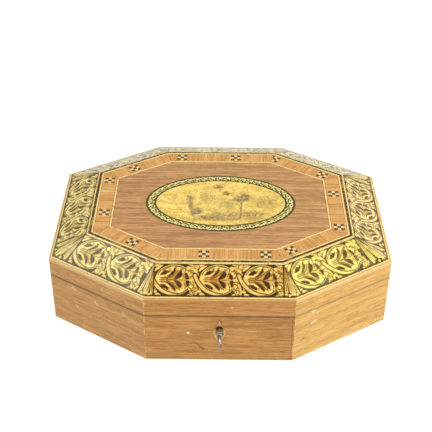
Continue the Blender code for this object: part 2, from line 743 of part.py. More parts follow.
def hinges(back_wall, back_skirt, pivot):
    """Two butt hinges on the back edge, each with a base leaf, a lid leaf and a pin."""
    reach = KNUCKLE + FIT
    for tag, centre_x in (("left", -HINGE_SPACING / 2), ("right", HINGE_SPACING / 2)):
        hinge_notches(
            back_wall,
            f"wall_{tag}",
            centre_x,
            BASE_HEIGHT - HINGE_SHEET - FIT,
            BASE_HEIGHT + SPARE,
            HINGE_Z - reach,
            BASE_HEIGHT + SPARE,
        )
        hinge_notches(
            back_skirt,
            f"skirt_{tag}",
            centre_x,
            LID_Z - SPARE,
            LID_Z + HINGE_SHEET + FIT,
            LID_Z - SPARE,
            HINGE_Z + reach,
            pivot,
        )
        hinge_leaf(f"hinge_{tag}_base_leaf", centre_x, BASE_HEIGHT - HINGE_SHEET, 0)
        hinge_leaf(f"hinge_{tag}_lid_leaf", centre_x, LID_Z, 1, pivot)
        new_piece(
            f"hinge_{tag}_pin",
            rod_mesh(HINGE_PIN, HINGE_LENGTH, ROUND),
            "brass",
            (centre_x, HINGE_Y, HINGE_Z),
            (0, math.pi / 2, 0),
        )


def lid_pivot():
    """The empty on the hinges' axis that carries the lid."""
    pivot = bpy.data.objects.new("lid_pivot", None)
    PART.objects.link(pivot)
    pivot.location = (0, HINGE_Y, HINGE_Z)
    return pivot


def writing_box():
    """The whole box, closed, with the key in its lock."""
    sides = plan_sides()
    pivot = lid_pivot()
    walls = base(sides)
    skirt = lid_skirt(sides, pivot)
    lid_slopes(sides, pivot)
    scroll_bands(sides, pivot)
    lines_round_the_lid(pivot)
    crossbands(sides, pivot)
    lid_top(pivot)
    escutcheon(walls["front"])
    lock_pocket(walls["front"])
    lock()
    link_plate(skirt["front"], pivot)
    key()
    hinges(walls["back"], skirt["back"], pivot)
    bpy.context.view_layer.update()


writing_box()
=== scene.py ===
"""Looks of an octagonal writing box: veneers, penwork bands, inlaid lines, brass and steel.

Metres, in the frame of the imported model: X runs along the box, the keyhole side faces -Y, Z is up.
Patterns are drawn in millimetres.
"""

import functools
import math
from collections import namedtuple

import bpy
import numpy as np
from mathutils import Euler, Matrix, Vector


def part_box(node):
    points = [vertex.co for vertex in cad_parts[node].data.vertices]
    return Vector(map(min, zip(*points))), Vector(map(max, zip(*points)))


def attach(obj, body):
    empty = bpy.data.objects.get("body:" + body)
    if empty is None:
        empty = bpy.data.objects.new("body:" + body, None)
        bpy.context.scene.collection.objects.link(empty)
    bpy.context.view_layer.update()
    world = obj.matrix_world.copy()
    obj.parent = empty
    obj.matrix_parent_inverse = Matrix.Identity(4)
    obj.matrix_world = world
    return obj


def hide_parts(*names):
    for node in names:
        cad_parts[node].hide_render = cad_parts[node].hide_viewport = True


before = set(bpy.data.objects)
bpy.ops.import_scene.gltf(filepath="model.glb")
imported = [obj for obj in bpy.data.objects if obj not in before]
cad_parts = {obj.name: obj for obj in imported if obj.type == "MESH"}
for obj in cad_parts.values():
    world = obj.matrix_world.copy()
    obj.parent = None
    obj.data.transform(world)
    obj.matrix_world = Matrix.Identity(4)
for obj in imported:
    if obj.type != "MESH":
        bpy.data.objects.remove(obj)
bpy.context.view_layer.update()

MM = 0.001

# Plan of the box
EAVE_LOW, EAVE_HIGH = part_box("eave_edging")
BOX_LENGTH = EAVE_HIGH.x - EAVE_LOW.x
BOX_WIDTH = EAVE_HIGH.y - EAVE_LOW.y
FRONT_EDGE = 0.127
END_EDGE = 0.136

# Heights and pitch of the lid
TOP_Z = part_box("centre_panel")[1].z
BASE_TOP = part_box("base_wall_front")[1].z
SLOPE_RISE = 0.0145
SLOPE_RUN = 0.034
EAVE_Z = TOP_Z - SLOPE_RISE
PITCH = math.atan2(SLOPE_RISE, SLOPE_RUN)
SLOPE_LENGTH = math.hypot(SLOPE_RISE, SLOPE_RUN)

# Veneers
SEAM = 0.0003
VENEER = TOP_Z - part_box("centre_panel")[0].z
WELD = 1e-6
PEN_GRID = 0.00034
CLOSED_JOINT = 0.00004
OVAL_BORDER = 0.009

# How far edges are rounded over
VENEER_EDGE = 0.00006
LINE_EDGE = 0.00008
PLATE_EDGE = 0.0001
RIDGE_EDGE = 0.00012
EAVE_EDGE = 0.00015
TOP_EDGE = 0.0002
BOTTOM_EDGE = 0.0003

SIDE_NAMES = ("front", "front_right", "right", "back_right", "back", "back_left", "left", "front_left")
Side = namedtuple("Side", "name middle angle half start_turn end_turn")


def inset_of(node):
    """How far a node's outer edge lies in from the outer faces."""
    return EAVE_HIGH.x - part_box(node)[1].x


BAND_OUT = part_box("scroll_band_front")[0].y - EAVE_LOW.y
BAND_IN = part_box("scroll_band_front")[1].y - EAVE_LOW.y
CROSSBAND_OUT = inset_of("crossband_right")
CROSSBAND_IN = inset_of("inner_string") - SEAM
OVAL_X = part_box("oval_border")[1].x
OVAL_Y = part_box("oval_border")[1].y


# Plan geometry


def plan_corners():
    """Corners of the octagon, anticlockwise from the front left."""
    x, y = BOX_LENGTH / 2, BOX_WIDTH / 2
    right_hand = [(FRONT_EDGE / 2, -y), (x, -END_EDGE / 2), (x, END_EDGE / 2), (FRONT_EDGE / 2, y)]
    left_hand = [(-px, py) for px, py in reversed(right_hand)]
    return [Vector(corner) for corner in [left_hand[-1]] + right_hand + left_hand[:-1]]


def plan_sides():
    """The eight sides: middle, direction, half length and the turn at each end."""
    corners = plan_corners()
    runs = [corners[(i + 1) % 8] - corners[i] for i in range(8)]
    angles = [math.atan2(run.y, run.x) for run in runs]
    sides = []
    for i, name in enumerate(SIDE_NAMES):
        start_turn = (angles[i] - angles[i - 1]) % math.tau
        end_turn = (angles[(i + 1) % 8] - angles[i]) % math.tau
        middle = (corners[i] + corners[(i + 1) % 8]) / 2
        sides.append(Side(name, middle, angles[i], runs[i].length / 2, start_turn, end_turn))
    return sides


def side_place(side):
    """The frame of a side: X along it, Y inwards from its outer face, Z up."""
    return Matrix.Translation(side.middle.to_3d()) @ Matrix.Rotation(side.angle, 4, "Z")


# Shader values


class Value:
    """A shader value: arithmetic on it adds Math nodes."""

    def __init__(self, tree, socket=None):
        self.tree = tree
        self.socket = socket

    def node(self, kind, settings=None, sockets=None, output=0):
        """Add a node: its settings first, then the values or links of its sockets."""
        made = self.tree.nodes.new("ShaderNode" + kind)
        for name, setting in (settings or {}).items():
            setattr(made, name, setting)
        for key, given in (sockets or {}).items():
            if isinstance(given, Value):
                self.tree.links.new(given.socket, made.inputs[key])
            else:
                made.inputs[key].default_value = given
        return Value(self.tree, made.outputs[output])

    def math(self, operation, *terms):
        return self.node("Math", {"operation": operation}, dict(enumerate(terms)))

    def __add__(self, other):
        return self.math("ADD", self, other)

    __radd__ = __add__

    def __sub__(self, other):
        return self.math("SUBTRACT", self, other)

    def __rsub__(self, other):
        return self.math("SUBTRACT", other, self)

    def __mul__(self, other):
        return self.math("MULTIPLY", self, other)

    def __abs__(self):
        return self.math("ABSOLUTE", self)


def step_up(value, low, high):
    """0 below low and 1 above high, with a soft step between."""
    ends = {"Value": value, "From Min": low, "From Max": high}
    return value.node("MapRange", {"interpolation_type": "SMOOTHSTEP"}, ends)


def least(first, second):
    return first.math("MINIMUM", first, second)


def most(first, second):
    return first.math("MAXIMUM", first, second)


def colour_of(given):
    return given if isinstance(given, Value) else (*given, 1.0)


def mix(share, first, second):
    """A colour between two colours."""
    sockets = {0: share, 6: colour_of(first), 7: colour_of(second)}
    return share.node("Mix", {"data_type": "RGBA"}, sockets, 2)


def between(share, first, second):
    """A number between two numbers."""
    return first + share * (second - first)


def split(spot):
    """The three coordinates of a spot."""
    return [spot.node("SeparateXYZ", sockets={0: spot}, output=axis) for axis in range(3)]


def noise(spot, size, detail=2.0, rough=0.5, shift=0.0):
    """Cloudy noise; its clouds have the given size in millimetres, or one size for each axis."""
    sizes = size if isinstance(size, tuple) else (size,) * 3
    scale = [1 / length for length in sizes]
    where = spot.node("VectorMath", {"operation": "MULTIPLY_ADD"}, {0: spot, 1: scale, 2: (shift,) * 3})
    sockets = {"Vector": where, "Scale": 1.0, "Detail": detail, "Roughness": rough}
    return spot.node("TexNoise", sockets=sockets)


def attribute(spot, name):
    """A value painted on the mesh."""
    return spot.node("Attribute", {"attribute_name": name}, output="Fac")


def set_sockets(node, settings):
    """Give a node's sockets plain values."""
    for socket, setting in settings.items():
        node.inputs[socket].default_value = setting


def finish(name, paint, turn=0.0, start=(0, 0), gloss=0.5, metallic=0.0):
    """A material. The paint function gets the spot in millimetres, measured from start and turned."""
    material = bpy.data.materials.new(name)
    material.use_nodes = True
    tree = material.node_tree
    shader = tree.nodes["Principled BSDF"]
    set_sockets(shader, {"Specular IOR Level": gloss, "Metallic": metallic})
    place = Value(tree).node("TexCoord", output="Object")
    shift = Matrix.Rotation(-turn, 3, "Z") @ Vector((-start[0], -start[1], 0)) / MM
    mapping = {"Vector": place, "Location": shift, "Rotation": (0, 0, -turn), "Scale": (1 / MM,) * 3}
    spot = place.node("Mapping", sockets=mapping)
    for socket, value in paint(spot).items():
        if isinstance(value, Value):
            tree.links.new(value.socket, shader.inputs[socket])
        else:
            shader.inputs[socket].default_value = value
    return material


def bump(height, depth):
    """A normal from a height in millimetres times a depth."""
    return height.node("Bump", sockets={"Strength": 1.0, "Distance": depth * MM, "Height": height})


def mark(spot, start, end, width, ragged=0.0):
    """1 along a scratch between two places, each given by two of the three coordinates and a None."""
    first = Vector([place or 0 for place in start])
    run = Vector([place or 0 for place in end]) - first
    per_length = run / run.length_squared
    seen = [0 if place is None else 1 for place in start]
    flat = spot.node("VectorMath", {"operation": "MULTIPLY"}, {0: spot, 1: seen})
    off = flat.node("VectorMath", {"operation": "SUBTRACT"}, {0: flat, 1: first})
    along = off.node("VectorMath", {"operation": "DOT_PRODUCT"}, {0: off, 1: per_length}, "Value")
    along = least(most(along, 0.0), 1.0)
    nearest = off.node("VectorMath", {"operation": "SCALE"}, {0: run, "Scale": along})
    gap = off.node("VectorMath", {"operation": "DISTANCE"}, {0: off, 1: nearest}, "Value")
    if ragged:
        gap = gap + (noise(spot, 1.5) - 0.5) * ragged
    return 1 - step_up(gap, width * 0.5, width)


# Woods


def wood(spot, dark, light, pore, shift=0.0, contrast=1.0, pores=0.55, bold=1.0):
    """Colour and height of a wood with its grain along the first axis."""
    bands = noise(spot, (120, 6 * bold, 6 * bold), 3, 0.6, shift)
    streaks = noise(spot, (36, 1.1 * bold, 1.1 * bold), 4, 0.7, shift + 3)
    cloud = noise(spot, (11, 6, 6), 4, 0.7, shift + 7)
    flecks = noise(spot, (6.5, 0.75 * bold, 0.75 * bold), 3, 0.65, shift + 11)
    tone = (bands - 0.5) * 0.6 + (streaks - 0.5) * 1.3 + (cloud - 0.5) * 0.35 + (flecks - 0.5) * 0.8
    share = step_up(tone * contrast, -0.34, 0.34)
    open_grain = step_up(flecks, 0.60, 0.74)
    return mix(open_grain * pores, mix(share, dark, light), pore), streaks - open_grain * 0.7


# Dark and light of each wood, and of its pores where it has its own
# The veneer's dark and light are given side by side as painted light: the front right lighter and
# yellower, as lit from the right, the front left a little lighter than the front
VENEERS_WITH_PAINTED_LIGHT = {
    "front": ((0.33, 0.138, 0.026), (0.60, 0.292, 0.068)),
    "front_right": ((0.42, 0.215, 0.046), (0.70, 0.42, 0.11)),
    "front_left": ((0.37, 0.165, 0.040), (0.66, 0.345, 0.100)),
}
VENEER_PORE = (0.17, 0.065, 0.016)
# Colour of rubbed wear, also used as a painted highlight along the corners and the eave's arris
VENEER_RUBBED_AND_HIGHLIGHT = (0.85, 0.60, 0.28)
CROSSBANDING = ((0.43, 0.195, 0.048), (0.66, 0.365, 0.112), (0.22, 0.080, 0.020))
BOARD = ((0.30, 0.17, 0.085), (0.44, 0.27, 0.14), (0.18, 0.10, 0.05))
# Painted shade, with some grime, in the joint under the lid
JOINT_SHADE_AND_GRIME = (0.10, 0.042, 0.012)

# Places of marks: how high the eave's stain ends, the front corners, the keyhole and the repair
STAIN_RISE = 0.55
CORNER_X = FRONT_EDGE / 2 / MM
KEY_UP = 35.3
REPAIR_START = (-116, 17, None)
REPAIR_END = (-97, 17, None)

# Wear on the sides: start, end, width, raggedness and strength, along the side and up
CHIPS = {
    "front": [
        ((-26.8, 30.8), (-26.4, 30.8), 1.5, 0.8, 1.0),
        ((25.0, 33.2), (31.5, 32.8), 0.4, 0.0, 0.4),
        ((10.0, 59.0), (10.6, 59.2), 0.7, 0.5, 0.6),
    ],
    "front_right": [
        ((-32.4, 47.6), (-31.6, 47.4), 1.6, 0.9, 0.8),
        ((-33.6, 34.2), (-28.8, 36.0), 0.9, 0.5, 0.8),
        ((4.0, 23.3), (4.6, 23.4), 1.0, 0.6, 0.5),
    ],
    "front_left": [
        ((-26.2, 46.2), (-24.0, 44.6), 2.0, 1.6, 0.32),
        ((-1.6, 39.8), (0.2, 38.2), 1.8, 1.4, 0.30),
        ((-23.6, 25.0), (-22.4, 25.0), 1.3, 0.8, 0.30),
        ((28.4, 41.6), (30.0, 40.8), 2.0, 1.6, 0.25),
        ((6.8, 57.6), (7.8, 57.4), 1.6, 1.2, 0.25),
    ],
}
SCRATCHES = {
    "front": [
        ((-22.5, 21.5), (-17.5, 16.5), 0.5, 0.5, 1.0),
        ((-17.0, 15.5), (-13.5, 12.4), 1.1, 0.9, 1.0),
        ((53.5, 10.0), (53.8, 10.2), 0.9, 0.5, 1.0),
        ((61.5, 2.0), (61.5, 47.0), 0.3, 0.0, 1.0),
        ((0.2, 44.6), (1.4, 43.4), 1.8, 1.6, 0.6),
    ],
    "front_right": [
        ((-42.0, 20.4), (-40.0, 21.4), 1.1, 0.8, 0.6),
        ((-29.6, 42.4), (-29.0, 42.6), 1.1, 0.8, 0.4),
        ((5.6, 12.2), (6.2, 12.4), 1.1, 0.8, 0.5),
    ],
}


def wear(spot, marks):
    """Where a side is marked, 0 to 1."""
    shares = []
    for (start, start_up), (end, end_up), width, ragged, strength in marks:
        one = mark(spot, (start, None, start_up), (end, None, end_up), width, ragged)
        shares.append(one * strength)
    return functools.reduce(most, shares)


def side_finish(side):
    """Face veneer on one side, with the board behind it, a painted highlight on its corners and painted
    shade with grime at the lid's joint.
    """
    number = SIDE_NAMES.index(side.name)
    tones = VENEERS_WITH_PAINTED_LIGHT.get(side.name, VENEERS_WITH_PAINTED_LIGHT["front"])
    # Strength of the painted shade and grime at the lid joint: weaker on the front right, where more
    # light falls
    joint_shade_and_grime = 0.25 if side.name == "front_right" else 0.6
    worn_more = 0.04 if side.name == "front_left" else 0

    def paint(spot):
        along, inset, up = split(spot)
        colour, height = wood(spot, *tones, VENEER_PORE, number * 5.0, 1.35)
        rub = noise(spot, 7, 3, 0.65, 21)
        nick = noise(spot, (2.4, 2.4, 3.4), 3, 0.6, 33)
        half = side.half / MM
        patchy = noise(spot, (18, 18, 14), 2, 0.5, 44)
        # Rubbed wear on the corners, lightened also as a painted highlight along them, and rubbed wear
        # at the foot
        corner = step_up(abs(along) + (nick - 0.5) * 5.0 + (patchy - 0.5) * 4.5, half - 0.4, half + 0.5)
        foot = step_up((nick - 0.5) * 3.0 - up, -0.5, 0.3)
        colour = mix(most(corner * 0.75, foot * 0.5), colour, VENEER_RUBBED_AND_HIGHLIGHT)
        # Painted shade, with some grime, in a soft band along the joint under the lid's skirt
        joint = 1 - step_up(abs(up - BASE_TOP / MM) + (rub - 0.5) * 1.6, 0.2, 2.2)
        colour = mix(joint * joint_shade_and_grime, colour, JOINT_SHADE_AND_GRIME)
        scuff = step_up(noise(spot, (3.4, 1.5, 1.5), 2, 0.5, 40), 0.69 - worn_more, 0.76 - worn_more)
        colour = mix(scuff * 0.4, colour, VENEER_RUBBED_AND_HIGHLIGHT)
        if side.name in CHIPS:
            colour = mix(wear(spot, CHIPS[side.name]) * 0.85, colour, (0.90, 0.78, 0.58))
        if side.name in SCRATCHES:
            colour = mix(wear(spot, SCRATCHES[side.name]) * 0.7, colour, (0.13, 0.05, 0.02))
        board, board_height = wood(spot, *BOARD, 2.0)
        behind = step_up(inset, VENEER / MM, VENEER / MM + 0.05)
        return {
            "Base Color": mix(behind, colour, board),
            "Roughness": between(behind, 0.42 + rub * 0.14, 0.62),
            "Normal": bump(between(behind, height, board_height), 0.03),
        }
    return finish(f"Veneered side {side.name}", paint, side.angle, side.middle, gloss=0.4)


def crossband_finish(side):
    """Crossbanding with its grain across the strip."""
    def paint(spot):
        colour, height = wood(spot, *CROSSBANDING, side.half * 900, 1.4, pores=0.7)
        if side.name == "left":
            mend = mark(spot, REPAIR_START, REPAIR_END, 0.6, 0.3)
            colour = mix(mend * 0.85, colour, (0.88, 0.76, 0.55))
        rub = noise(spot, 9, 3, 0.6, 4)
        return {"Base Color": colour, "Roughness": 0.28 + rub * 0.12, "Normal": bump(height, 0.02)}
    across = side.angle + math.pi / 2
    return finish(f"Crossbanding {side.name}", paint, across, gloss=0.4)


def panel_finish():
    """The centre panel's dark veneer, a little lighter towards the right and the back, with a few
    orange specks.
    """
    def paint(spot):
        x, y, _ = split(spot)
        lighter_to_back_right = step_up(x + y, -90, 60)
        dark = mix(lighter_to_back_right, (0.29, 0.135, 0.048), (0.309, 0.152, 0.052))
        light = mix(lighter_to_back_right, (0.52, 0.274, 0.106), (0.555, 0.308, 0.115))
        colour, height = wood(spot, dark, light, (0.15, 0.058, 0.019), 1.5, 1.5)
        rub = noise(spot, (14, 10, 10), 3, 0.6, 8)
        fleck = step_up(noise(spot, (2.4, 1.8, 1.8), 2, 0.5, 14), 0.66, 0.74)
        colour = mix(fleck * 0.6, colour, (0.66, 0.30, 0.05))
        return {"Base Color": colour, "Roughness": 0.3 + rub * 0.14, "Normal": bump(height, 0.02)}
    return finish("Centre panel veneer", paint, gloss=0.4)


def boxwood(spot):
    """Colour of pale boxwood, and where grime lies on it."""
    streak = noise(spot, 3, 3, 0.6)
    grime = step_up(noise(spot, 7, 4, 0.65, 6), 0.54, 0.70)
    colour = mix(streak, (0.61, 0.39, 0.10), (0.85, 0.65, 0.27))
    return mix(grime * 0.55, colour, (0.26, 0.12, 0.03)), grime


def line_finish():
    """The thin boxwood lines on the lid."""
    def paint(spot):
        colour, grime = boxwood(spot)
        return {"Base Color": colour, "Roughness": 0.34 + grime * 0.2}
    return finish("Boxwood line", paint, gloss=0.4)


def edging_finish():
    """Boxwood at the eave: bare, then a dark line, then stained brown on the front and back, with a
    painted highlight along its arris.
    """
    def paint(spot):
        colour, grime = boxwood(spot)
        along, _, up = split(spot)
        rise = up - EAVE_Z / MM
        waver = (noise(spot, 4, 3, 0.6, 12) - 0.5) * 0.30
        stained = 1 - step_up(rise + waver, STAIN_RISE - 0.06, STAIN_RISE + 0.04)
        tone = noise(spot, (6, 6, 3), 3, 0.6, 15)
        bare = step_up(abs(along), CORNER_X - 1, CORNER_X + 1)
        unstained = mix(tone, (0.55, 0.35, 0.09), (0.78, 0.58, 0.24))
        stain = mix(bare * 0.8, mix(tone, *VENEERS_WITH_PAINTED_LIGHT["front"]), unstained)
        # The arris is rubbed, and painted lighter as a highlight too
        arris = 1 - step_up(abs(rise + 0.02) + (tone - 0.5) * 0.4, 0.02, 0.16)
        stain = mix(arris * 0.7, stain, VENEER_RUBBED_AND_HIGHLIGHT)
        line = 1 - step_up(abs(rise + waver - STAIN_RISE), 0.04, 0.16)
        colour = mix(line * 0.75, mix(stained, colour, stain), (0.24, 0.13, 0.02))
        scratch = mark(spot, (147, 47.5, None), (150.2, 55, None), 0.8, 0.4)
        colour = mix(scratch * 0.85, colour, (0.92, 0.86, 0.68))
        return {"Base Color": colour, "Roughness": 0.38 + grime * 0.2}
    return finish("Boxwood edging", paint, gloss=0.4)


def ebony_finish():
    """Black line, rubbed through to brown and lost in short stretches."""
    def paint(spot):
        short = noise(spot, 3.2, 4, 0.65, 2)
        long = noise(spot, 30, 2, 0.5, 5)
        worn = step_up(short + (long - 0.5) * 0.8, 0.50, 0.66)
        colour = mix(worn * 0.65, (0.068, 0.045, 0.012), (0.46, 0.28, 0.08))
        return {"Base Color": colour, "Roughness": 0.4 + worn * 0.2}
    return finish("Ebony line", paint, gloss=0.15)


def board_finish():
    """Plain softwood boards of the carcase."""
    def paint(spot):
        colour, height = wood(spot, *BOARD, 9.0, bold=1.6)
        return {"Base Color": colour, "Roughness": 0.62, "Normal": bump(height, 0.04)}
    return finish("Carcase board", paint)


def tile_finish(name, light, dark):
    """Small chequer tiles."""
    def paint(spot):
        streak = noise(spot, (2.5, 1.2, 2), 3, 0.6)
        return {"Base Color": mix(streak, dark, light), "Roughness": 0.34}
    return finish(name, paint, gloss=0.3)


def bone_finish():
    """Yellowed bone with fine streaks and grime, and painted shade round and below the keyhole."""
    def paint(spot):
        streak = noise(spot, (0.7, 3, 5), 3, 0.6)
        grime = step_up(noise(spot, 3, 4, 0.6, 6), 0.45, 0.68)
        colour = mix(streak, (0.52, 0.265, 0.075), (0.72, 0.42, 0.14))
        colour = mix(grime * 0.55, colour, (0.32, 0.14, 0.035))
        # Painted shade of the keyhole, with handling grime: darker round the hole and below it
        keyhole_shade_and_grime = mark(spot, (0, None, KEY_UP), (0, None, KEY_UP - 5), 4.6, 0.8)
        return {"Base Color": mix(keyhole_shade_and_grime * 0.75, colour, (0.12, 0.055, 0.016)), "Roughness": 0.4}
    return finish("Old bone", paint)


def metal_finish(name, bright, dull, rough):
    """Old metal: bright where it is rubbed, dull and rougher elsewhere."""
    def paint(spot):
        tarnish = step_up(noise(spot, 5, 4, 0.6), 0.38, 0.66)
        grain = noise(spot, (0.5, 4, 4), 2, 0.5, 3)
        return {
            "Base Color": mix(tarnish, bright, dull),
            "Roughness": rough + tarnish * 0.18,
            "Normal": bump(grain, 0.01),
        }
    return finish(name, paint, metallic=1.0)


# Penwork, drawn as distances in millimetres

# One roundel, from its middle: x along the band, y to the ridge.
# A stroke is its start, its turning point, its end and the half widths there.
STEM = [
    ((-19.6, 4.4), (-16.8, -5.2), (-9.0, -10.8), (1.45, 1.65, 1.5)),
    ((-9.0, -10.6), (-4.0, -14.0), (3.0, -13.4), (1.5, 1.2, 0.4)),
]
RIM_LOBES = [
    ((12.6, 10.4), (16.8, 9.2), (19.3, 5.2), (2.2, 2.9, 1.5)),
    ((12.4, 6.4), (14.8, 5.4), (16.2, 3.4), (1.9, 2.0, 1.3)),
    ((13.6, -2.6), (16.9, -5.2), (18.4, -8.8), (1.7, 2.5, 1.4)),
    ((12.4, -6.6), (15.4, -9.2), (15.7, -12.6), (2.1, 2.1, 1.8)),
    ((15.0, 2.8), (16.2, 0.6), (17.0, -1.6), (1.0, 1.4, 0.9)),
]
HOLLOWS = [
    ((-11.3, 5.0), (-8.2, 6.3), (-4.6, 9.6), (0.3, 1.9, 1.3)),
    ((-5.4, 3.2), (-1.4, 5.2), (0.5, 10.2), (0.3, 1.2, 1.2)),
    ((1.1, 0.9), (4.4, 3.0), (7.0, 9.6), (0.8, 2.1, 0.9)),
    ((1.1, -0.9), (4.4, -3.0), (6.2, -7.9), (0.8, 2.0, 0.8)),
    ((9.9, 6.4), (10.9, 3.2), (11.3, 0.6), (0.8, 1.5, 1.0)),
    ((11.2, 0.4), (11.7, -2.0), (11.5, -6.8), (1.0, 1.5, 0.6)),
    ((9.0, 1.2), (11.0, 1.4), (13.8, 2.0), (0.3, 0.8, 0.4)),
    ((11.4, -2.2), (12.6, -2.4), (13.8, -2.0), (0.6, 0.6, 0.3)),
    ((-11.5, -4.6), (-8.6, -5.6), (-4.4, -9.0), (0.3, 1.7, 0.9)),
    ((-6.2, -2.5), (-1.4, -4.2), (1.3, -9.4), (0.3, 1.3, 0.9)),
]
CRESCENTS = [
    ((-10.6, 3.7), (-4.6, 3.9), (-1.9, 8.4), (0.5, 0.9, 0.3)),
    ((-10.4, -3.3), (-5.6, -3.8), (-2.8, -7.6), (0.4, 0.8, 0.3)),
]
HEART = [
    ((3.7, -0.1), (6.4, 0.1), (9.6, -0.1), (0.15, 1.5, 1.2)),
    ((5.8, 0.9), (7.8, 2.5), (9.0, 5.4), (1.0, 1.1, 0.3)),
    ((5.8, -1.1), (8.2, -2.5), (10.0, -5.0), (1.0, 1.1, 0.3)),
    ((10.2, -0.2), (12.6, 0.0), (15.4, 0.1), (0.15, 0.8, 1.0)),
]
TEETH = [
    ((-12.2, 6.8), (-9.8, 8.6), (-7.0, 10.3), 4, 0.9),
    ((-5.4, 9.9), (-3.6, 10.2), (-2.2, 10.0), 2, 1.35),
    ((2.2, 9.8), (3.2, 10.2), (4.6, 9.9), 2, 1.2),
    ((8.3, 8.2), (8.4, 8.1), (8.5, 8.0), 1, 1.9),
    ((10.6, 7.4), (12.4, 5.8), (13.0, 4.2), 3, 1.0),
    ((-10.6, -7.4), (-8.2, -9.0), (-5.8, -10.4), 4, 0.9),
    ((-3.6, -9.2), (-2.0, -9.9), (-0.4, -10.6), 3, 1.15),
    ((2.8, -9.8), (4.0, -9.6), (5.4, -9.2), 2, 1.2),
    ((8.0, -7.0), (8.3, -6.8), (8.6, -6.6), 1, 1.8),
    ((10.2, -7.8), (11.6, -7.6), (13.2, -6.6), 3, 1.0),
    ((13.4, 1.2), (13.8, -0.6), (13.4, -3.4), 3, 0.75),
]
VEINS = [
    ((-12.4, 0.2), (-6.0, 0.4), (1.4, 0.0)),
    ((-6.4, 0.9), (-0.6, 2.4), (3.3, 8.4)),
    ((-6.4, -0.9), (-0.6, -2.4), (3.1, -8.6)),
    ((-12.0, 1.7), (-6.4, 1.9), (-3.2, 3.0)),
    ((-12.0, -1.5), (-7.0, -1.7), (-4.4, -2.5)),
    ((4.4, 0.0), (7.0, 0.1), (9.4, -0.1)),
    ((12.6, 9.6), (16.2, 8.4), (18.8, 5.4)),
    ((12.2, -7.0), (15.0, -9.0), (15.6, -12.2)),
    ((13.6, -3.2), (16.4, -5.6), (17.8, -8.4)),
    ((-5.8, 1.9), (-2.2, 3.6), (-0.6, 9.2)),
    ((-5.8, -1.9), (-2.4, -3.4), (-0.8, -8.4)),
    ((1.6, 2.6), (3.2, 5.4), (5.4, 10.6)),
    ((2.2, -3.4), (3.6, -5.6), (4.8, -9.6)),
    ((7.6, 3.4), (9.2, 6.4), (9.4, 10.2)),
    ((8.4, -3.0), (9.8, -6.0), (9.4, -9.8)),
    ((-9.6, 8.6), (-6.8, 11.6), (-2.6, 12.8)),
    ((0.4, 12.6), (4.4, 12.8), (8.2, 11.2)),
]
SPRIGS = [
    ((18.4, -12.9), (19.2, -9.2), (21.8, -11.0), (1.1, 1.0, 1.5)),
    ((22.4, -13.4), (23.6, -12.8), (25.8, -14.2), (1.1, 1.1, 0.4)),
    ((14.4, -13.6), (13.0, -13.4), (11.4, -14.4), (1.0, 0.8, 0.3)),
    ((16.4, 13.4), (14.2, 14.0), (11.6, 14.6), (1.2, 0.8, 0.3)),
    ((21.6, 13.2), (23.4, 14.0), (25.6, 14.2), (1.4, 1.0, 0.4)),
    ((20.8, -5.6), (21.8, -7.0), (21.6, -9.4), (0.5, 0.9, 0.5)),
    ((21.2, 8.8), (23.0, 11.6), (27.0, 13.6), (1.0, 1.5, 0.6)),
]
LOBES = [
    (11.6, 10.6, 2.5),
    (15.4, 12.0, 2.7),
    (19.4, 12.3, 2.3),
    (17.8, 8.4, 2.3),
    (14.2, 5.2, 1.9),
    (15.2, -0.2, 1.5),
    (14.4, -6.0, 2.3),
    (17.6, -8.4, 2.2),
    (15.4, -11.7, 2.6),
]
ROUNDEL = (15.9, 14.7)
ROUNDEL_REACH = 28
ROUNDEL_PITCH = 37.0
ROUNDEL_DOWN = 18.0
FIRST_ROUNDEL = 17.0
LAST_ROUNDEL = 18.0
START_LINE_GAP = 1.8
END_LINE_GAP = 0.2
LEAF_TOP = 15.2
LEAF_FOOT = -15.5
FAR = 99.0


def curve(start, turn, end, count=9):
    """Points along a curve that bends towards its turning point."""
    t = np.linspace(0, 1, count)[:, None]
    start, turn, end = (np.array(point, float) for point in (start, turn, end))
    return (1 - t) ** 2 * start + 2 * t * (1 - t) * turn + t**2 * end


def bar(x, y, a, b, ra, rb):
    """How deep each spot lies inside a tapered bar; outside it is negative."""
    run = b - a
    t = np.clip(((x - a[0]) * run[0] + (y - a[1]) * run[1]) / (run @ run + 1e-12), 0, 1)
    return ra + (rb - ra) * t - np.hypot(x - a[0] - t * run[0], y - a[1] - t * run[1])


def brush(x, y, stroke):
    """How deep each spot lies inside a brush stroke."""
    start, turn, end, widths = stroke
    points = curve(start, turn, end)
    radii = np.interp(np.linspace(0, 1, len(points)), (0, 0.5, 1), widths)
    depth = np.full(x.shape, -FAR)
    for a, b, ra, rb in zip(points, points[1:], radii, radii[1:]):
        depth = np.maximum(depth, bar(x, y, a, b, ra, rb))
    return depth


def dot(x, y, centre, radius):
    """How deep each spot lies inside a disc."""
    return radius - np.hypot(x - centre[0], y - centre[1])


def oval_depth(x, y, half_x, half_y):
    """How deep each spot lies inside an oval, nearly."""
    share = np.hypot(x / half_x, y / half_y) + 1e-9
    slope = np.hypot(x / half_x**2, y / half_y**2) + 1e-9
    return (1 - share) * share / slope


